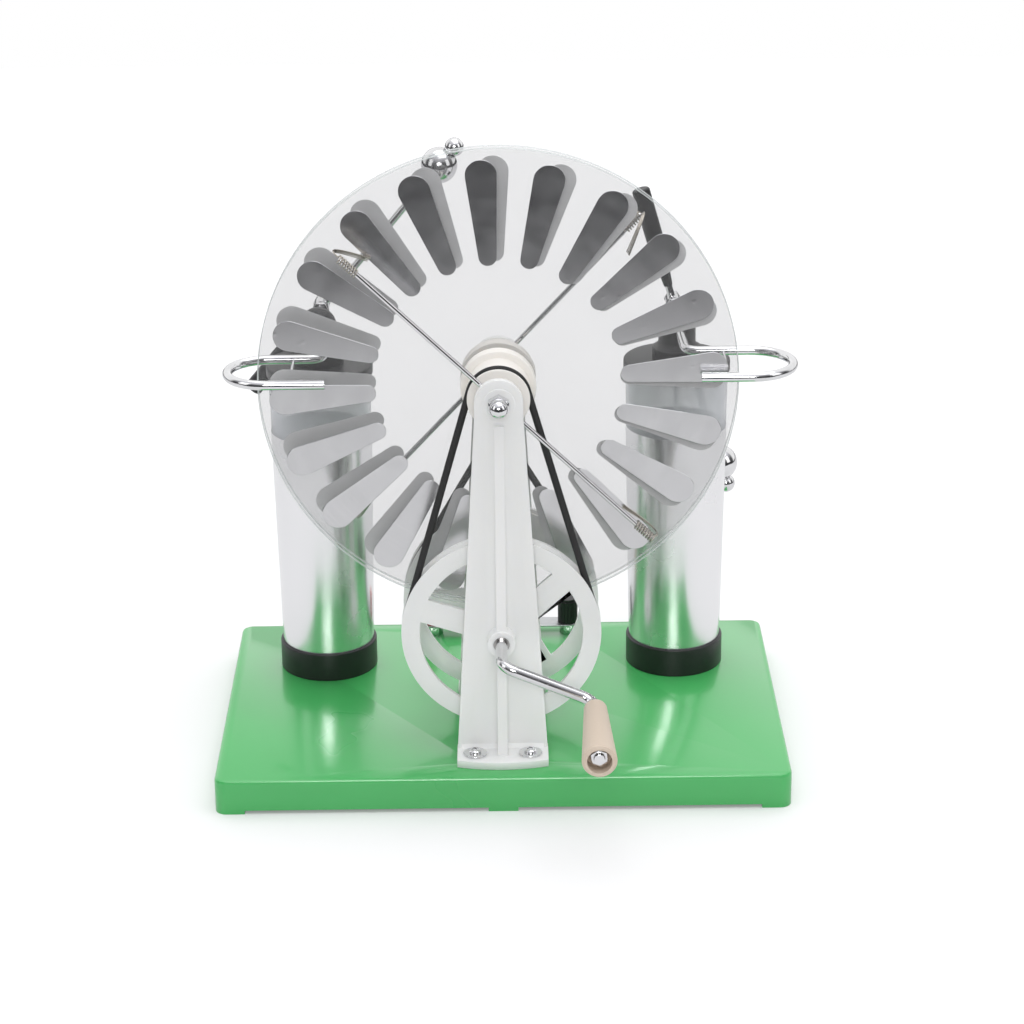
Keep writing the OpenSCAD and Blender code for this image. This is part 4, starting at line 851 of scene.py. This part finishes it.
def swept(name, paths, radius, sides, finish, closed=False):
    """Tubes along one or more rows of points."""
    verts, edges = [], []
    for path in paths:
        first = len(verts)
        verts += [tuple(p) for p in path]
        edges += [(first + i, first + i + 1) for i in range(len(path) - 1)]
        if closed:
            edges.append((len(verts) - 1, first))
    mesh = bpy.data.meshes.new("path")
    mesh.from_pydata(verts, edges, [])
    piece = run_tree(name, mesh, sweep_tree, Radius=radius, Sides=sides, Material=finishes[finish])
    face_outwards(piece.data)
    smooth_below(piece.data, degrees=60)
    return piece


print(sweep_tree.name, "has", len(sweep_tree.nodes), "nodes")

# %% Belts
SHAFT_Z = joints["crank_turn"]["pos_m"][2]
MID_Y = joints["front_disc_spin"]["pos_m"][1]
BELT_R = 0.0018
BELT_GAP = 0.0002
SMALL_R, BIG_R = 0.0146, 0.0483
CENTRES = AXLE_Z - SHAFT_Z


def arc(z, r, a0, a1, steps):
    angles = [a0 + (a1 - a0) * i / steps for i in range(steps + 1)]
    return [Vector((r * math.cos(a), 0, z + r * math.sin(a))) for a in angles]


def run_between(p, q, side, share, steps=24):
    """A straight run that swings aside most at its crossing, which lies at a share of its length."""
    out = []
    for i in range(1, steps):
        t = i / steps
        if t < share:
            swing = (1 - math.cos(math.pi * t / share)) / 2
        else:
            swing = (1 + math.cos(math.pi * (t - share) / (1 - share))) / 2
        out.append(p.lerp(q, t) + Vector((0, side * (BELT_R + BELT_GAP) * swing, 0)))
    return out


def belt_path(crossed, steps=40):
    if crossed:
        a = math.asin((BIG_R + SMALL_R) / CENTRES)
        top = arc(AXLE_Z, SMALL_R, -a, math.pi + a, steps)
        low = arc(SHAFT_Z, BIG_R, a, -math.pi - a, steps * 2)
        share = SMALL_R / (SMALL_R + BIG_R)
        down = run_between(top[-1], low[0], -1, share)
        return top + down + low + run_between(low[-1], top[0], 1, 1 - share)
    a = math.asin((BIG_R - SMALL_R) / CENTRES)
    top = arc(AXLE_Z, SMALL_R, a, math.pi - a, steps)
    return top + arc(SHAFT_Z, BIG_R, math.pi - a, 2 * math.pi + a, steps * 2)


for side, crossed in (("front", False), ("rear", True)):
    low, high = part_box(side + "_belt")
    plane = (low.y + high.y) / 2
    path = [p + Vector((0, plane, 0)) for p in belt_path(crossed)]
    belt = swept(side + "_round_belt", [path], BELT_R, sides=16, finish="belt rubber", closed=True)
    place_piece(belt, body_of[side + "_belt"], "belt rubber", side + "_belt")
    print(belt.name, "points", len(path))

# %% [markdown]
# ### Brushes
# At both ends of a neutralising rod a fine wire is wound round the rod, and loose strands of it bow over to
# the disc, where they sweep the foil. A ridged sleeve could stand for the winding, but single turns of wire
# catch the light one by one. So the winding is one wire in a helix, and each brush has a few strands with
# their own bow, taken from a list so that every run gives the same brush.

# %% Brush wires
MM = 0.001
COIL_TURNS, COIL_STEPS = 8, 16
WIRE_R, STRAND_R, ROD_R = 0.0004, 0.00028, 0.00125
COIL_SLACK, COIL_PITCH = 0.00035, 0.0015
COIL_R = ROD_R + WIRE_R + COIL_SLACK
ROD_REACH = 0.104
FOIL_OFF, FOIL_GAP = 0.0038, 0.0009
# A strand starts tucked into the winding, sways on its way, and its tip comes back and aside
TUCK, SWAY, TIP_BACK, TIP_ASIDE = 0.0004, 0.002, 0.015, 0.004
STRAND_STEPS = 16
TILT = {"front": math.radians(136.0), "rear": math.radians(46.8)}
# Each strand: the spread of its tip, its bow and its drift aside in mm, and its share of the way to the foil
STRANDS = ((0.0, 5.0, 0.0, 1.0), (0.18, 4.4, 0.7, 0.98), (-0.18, 5.6, -0.7, 0.97),
           (0.09, 4.0, 1.2, 0.93), (-0.06, 4.8, -0.4, 0.99))
rod_low, rod_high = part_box("front_neutraliser")
rod_off = abs((rod_low.y + rod_high.y) / 2 - MID_Y)


def winding():
    """The wire round a rod along +X that runs in front of the middle plane."""
    start = ROD_REACH - (COIL_TURNS - 1) * COIL_PITCH
    coil = []
    for k in range(COIL_TURNS * COIL_STEPS + 1):
        a = 2 * math.pi * k / COIL_STEPS
        along = start + COIL_PITCH * k / COIL_STEPS
        coil.append(Vector((along, -rod_off + COIL_R * math.cos(a), COIL_R * math.sin(a))))
    return coil


def tail(end, spread, bow, aside, share):
    """A strand that leaves the winding's end, bows outwards and reaches over to the foil."""
    drop = (rod_off - FOIL_OFF - FOIL_GAP) * share
    strand = []
    for i in range(STRAND_STEPS + 1):
        t = i / STRAND_STEPS
        swell = math.sin(math.pi * t)
        strand.append(Vector((
            end - TUCK + MM * bow * swell - TIP_BACK * t * t + MM * spread * t,
            -rod_off + COIL_R + (drop - COIL_R) * t,
            SWAY * swell + (MM * aside - TIP_ASIDE) * t * t)))
    return strand


coil = winding()
strands = [tail(coil[-1].x, *values) for values in STRANDS]
for side, flip in (("front", 1), ("rear", -1)):
    turned_coils, turned_strands = [], []
    for half_turn in (0, math.pi):
        place = (Matrix.Translation((0, MID_Y, AXLE_Z)) @ Matrix.Rotation(-(TILT[side] + half_turn), 4, "Y")
                 @ Matrix.Diagonal((1, flip, 1, 1)))
        turned_coils.append([place @ p for p in coil])
        turned_strands += [[place @ p for p in strand] for strand in strands]
    wires = swept(side + "_brush_windings", turned_coils, WIRE_R, sides=8, finish="brush wire")
    tinsel = swept(side + "_brush_strands", turned_strands, STRAND_R, sides=6, finish="brush wire")
    body = body_of[side + "_brushes"]
    place_piece(wires, body, "plated steel", side + "_brushes")
    place_piece(tinsel, body, "plated steel")
    print(wires.name, len(wires.data.polygons), "faces;", tinsel.name, len(tinsel.data.polygons), "faces")
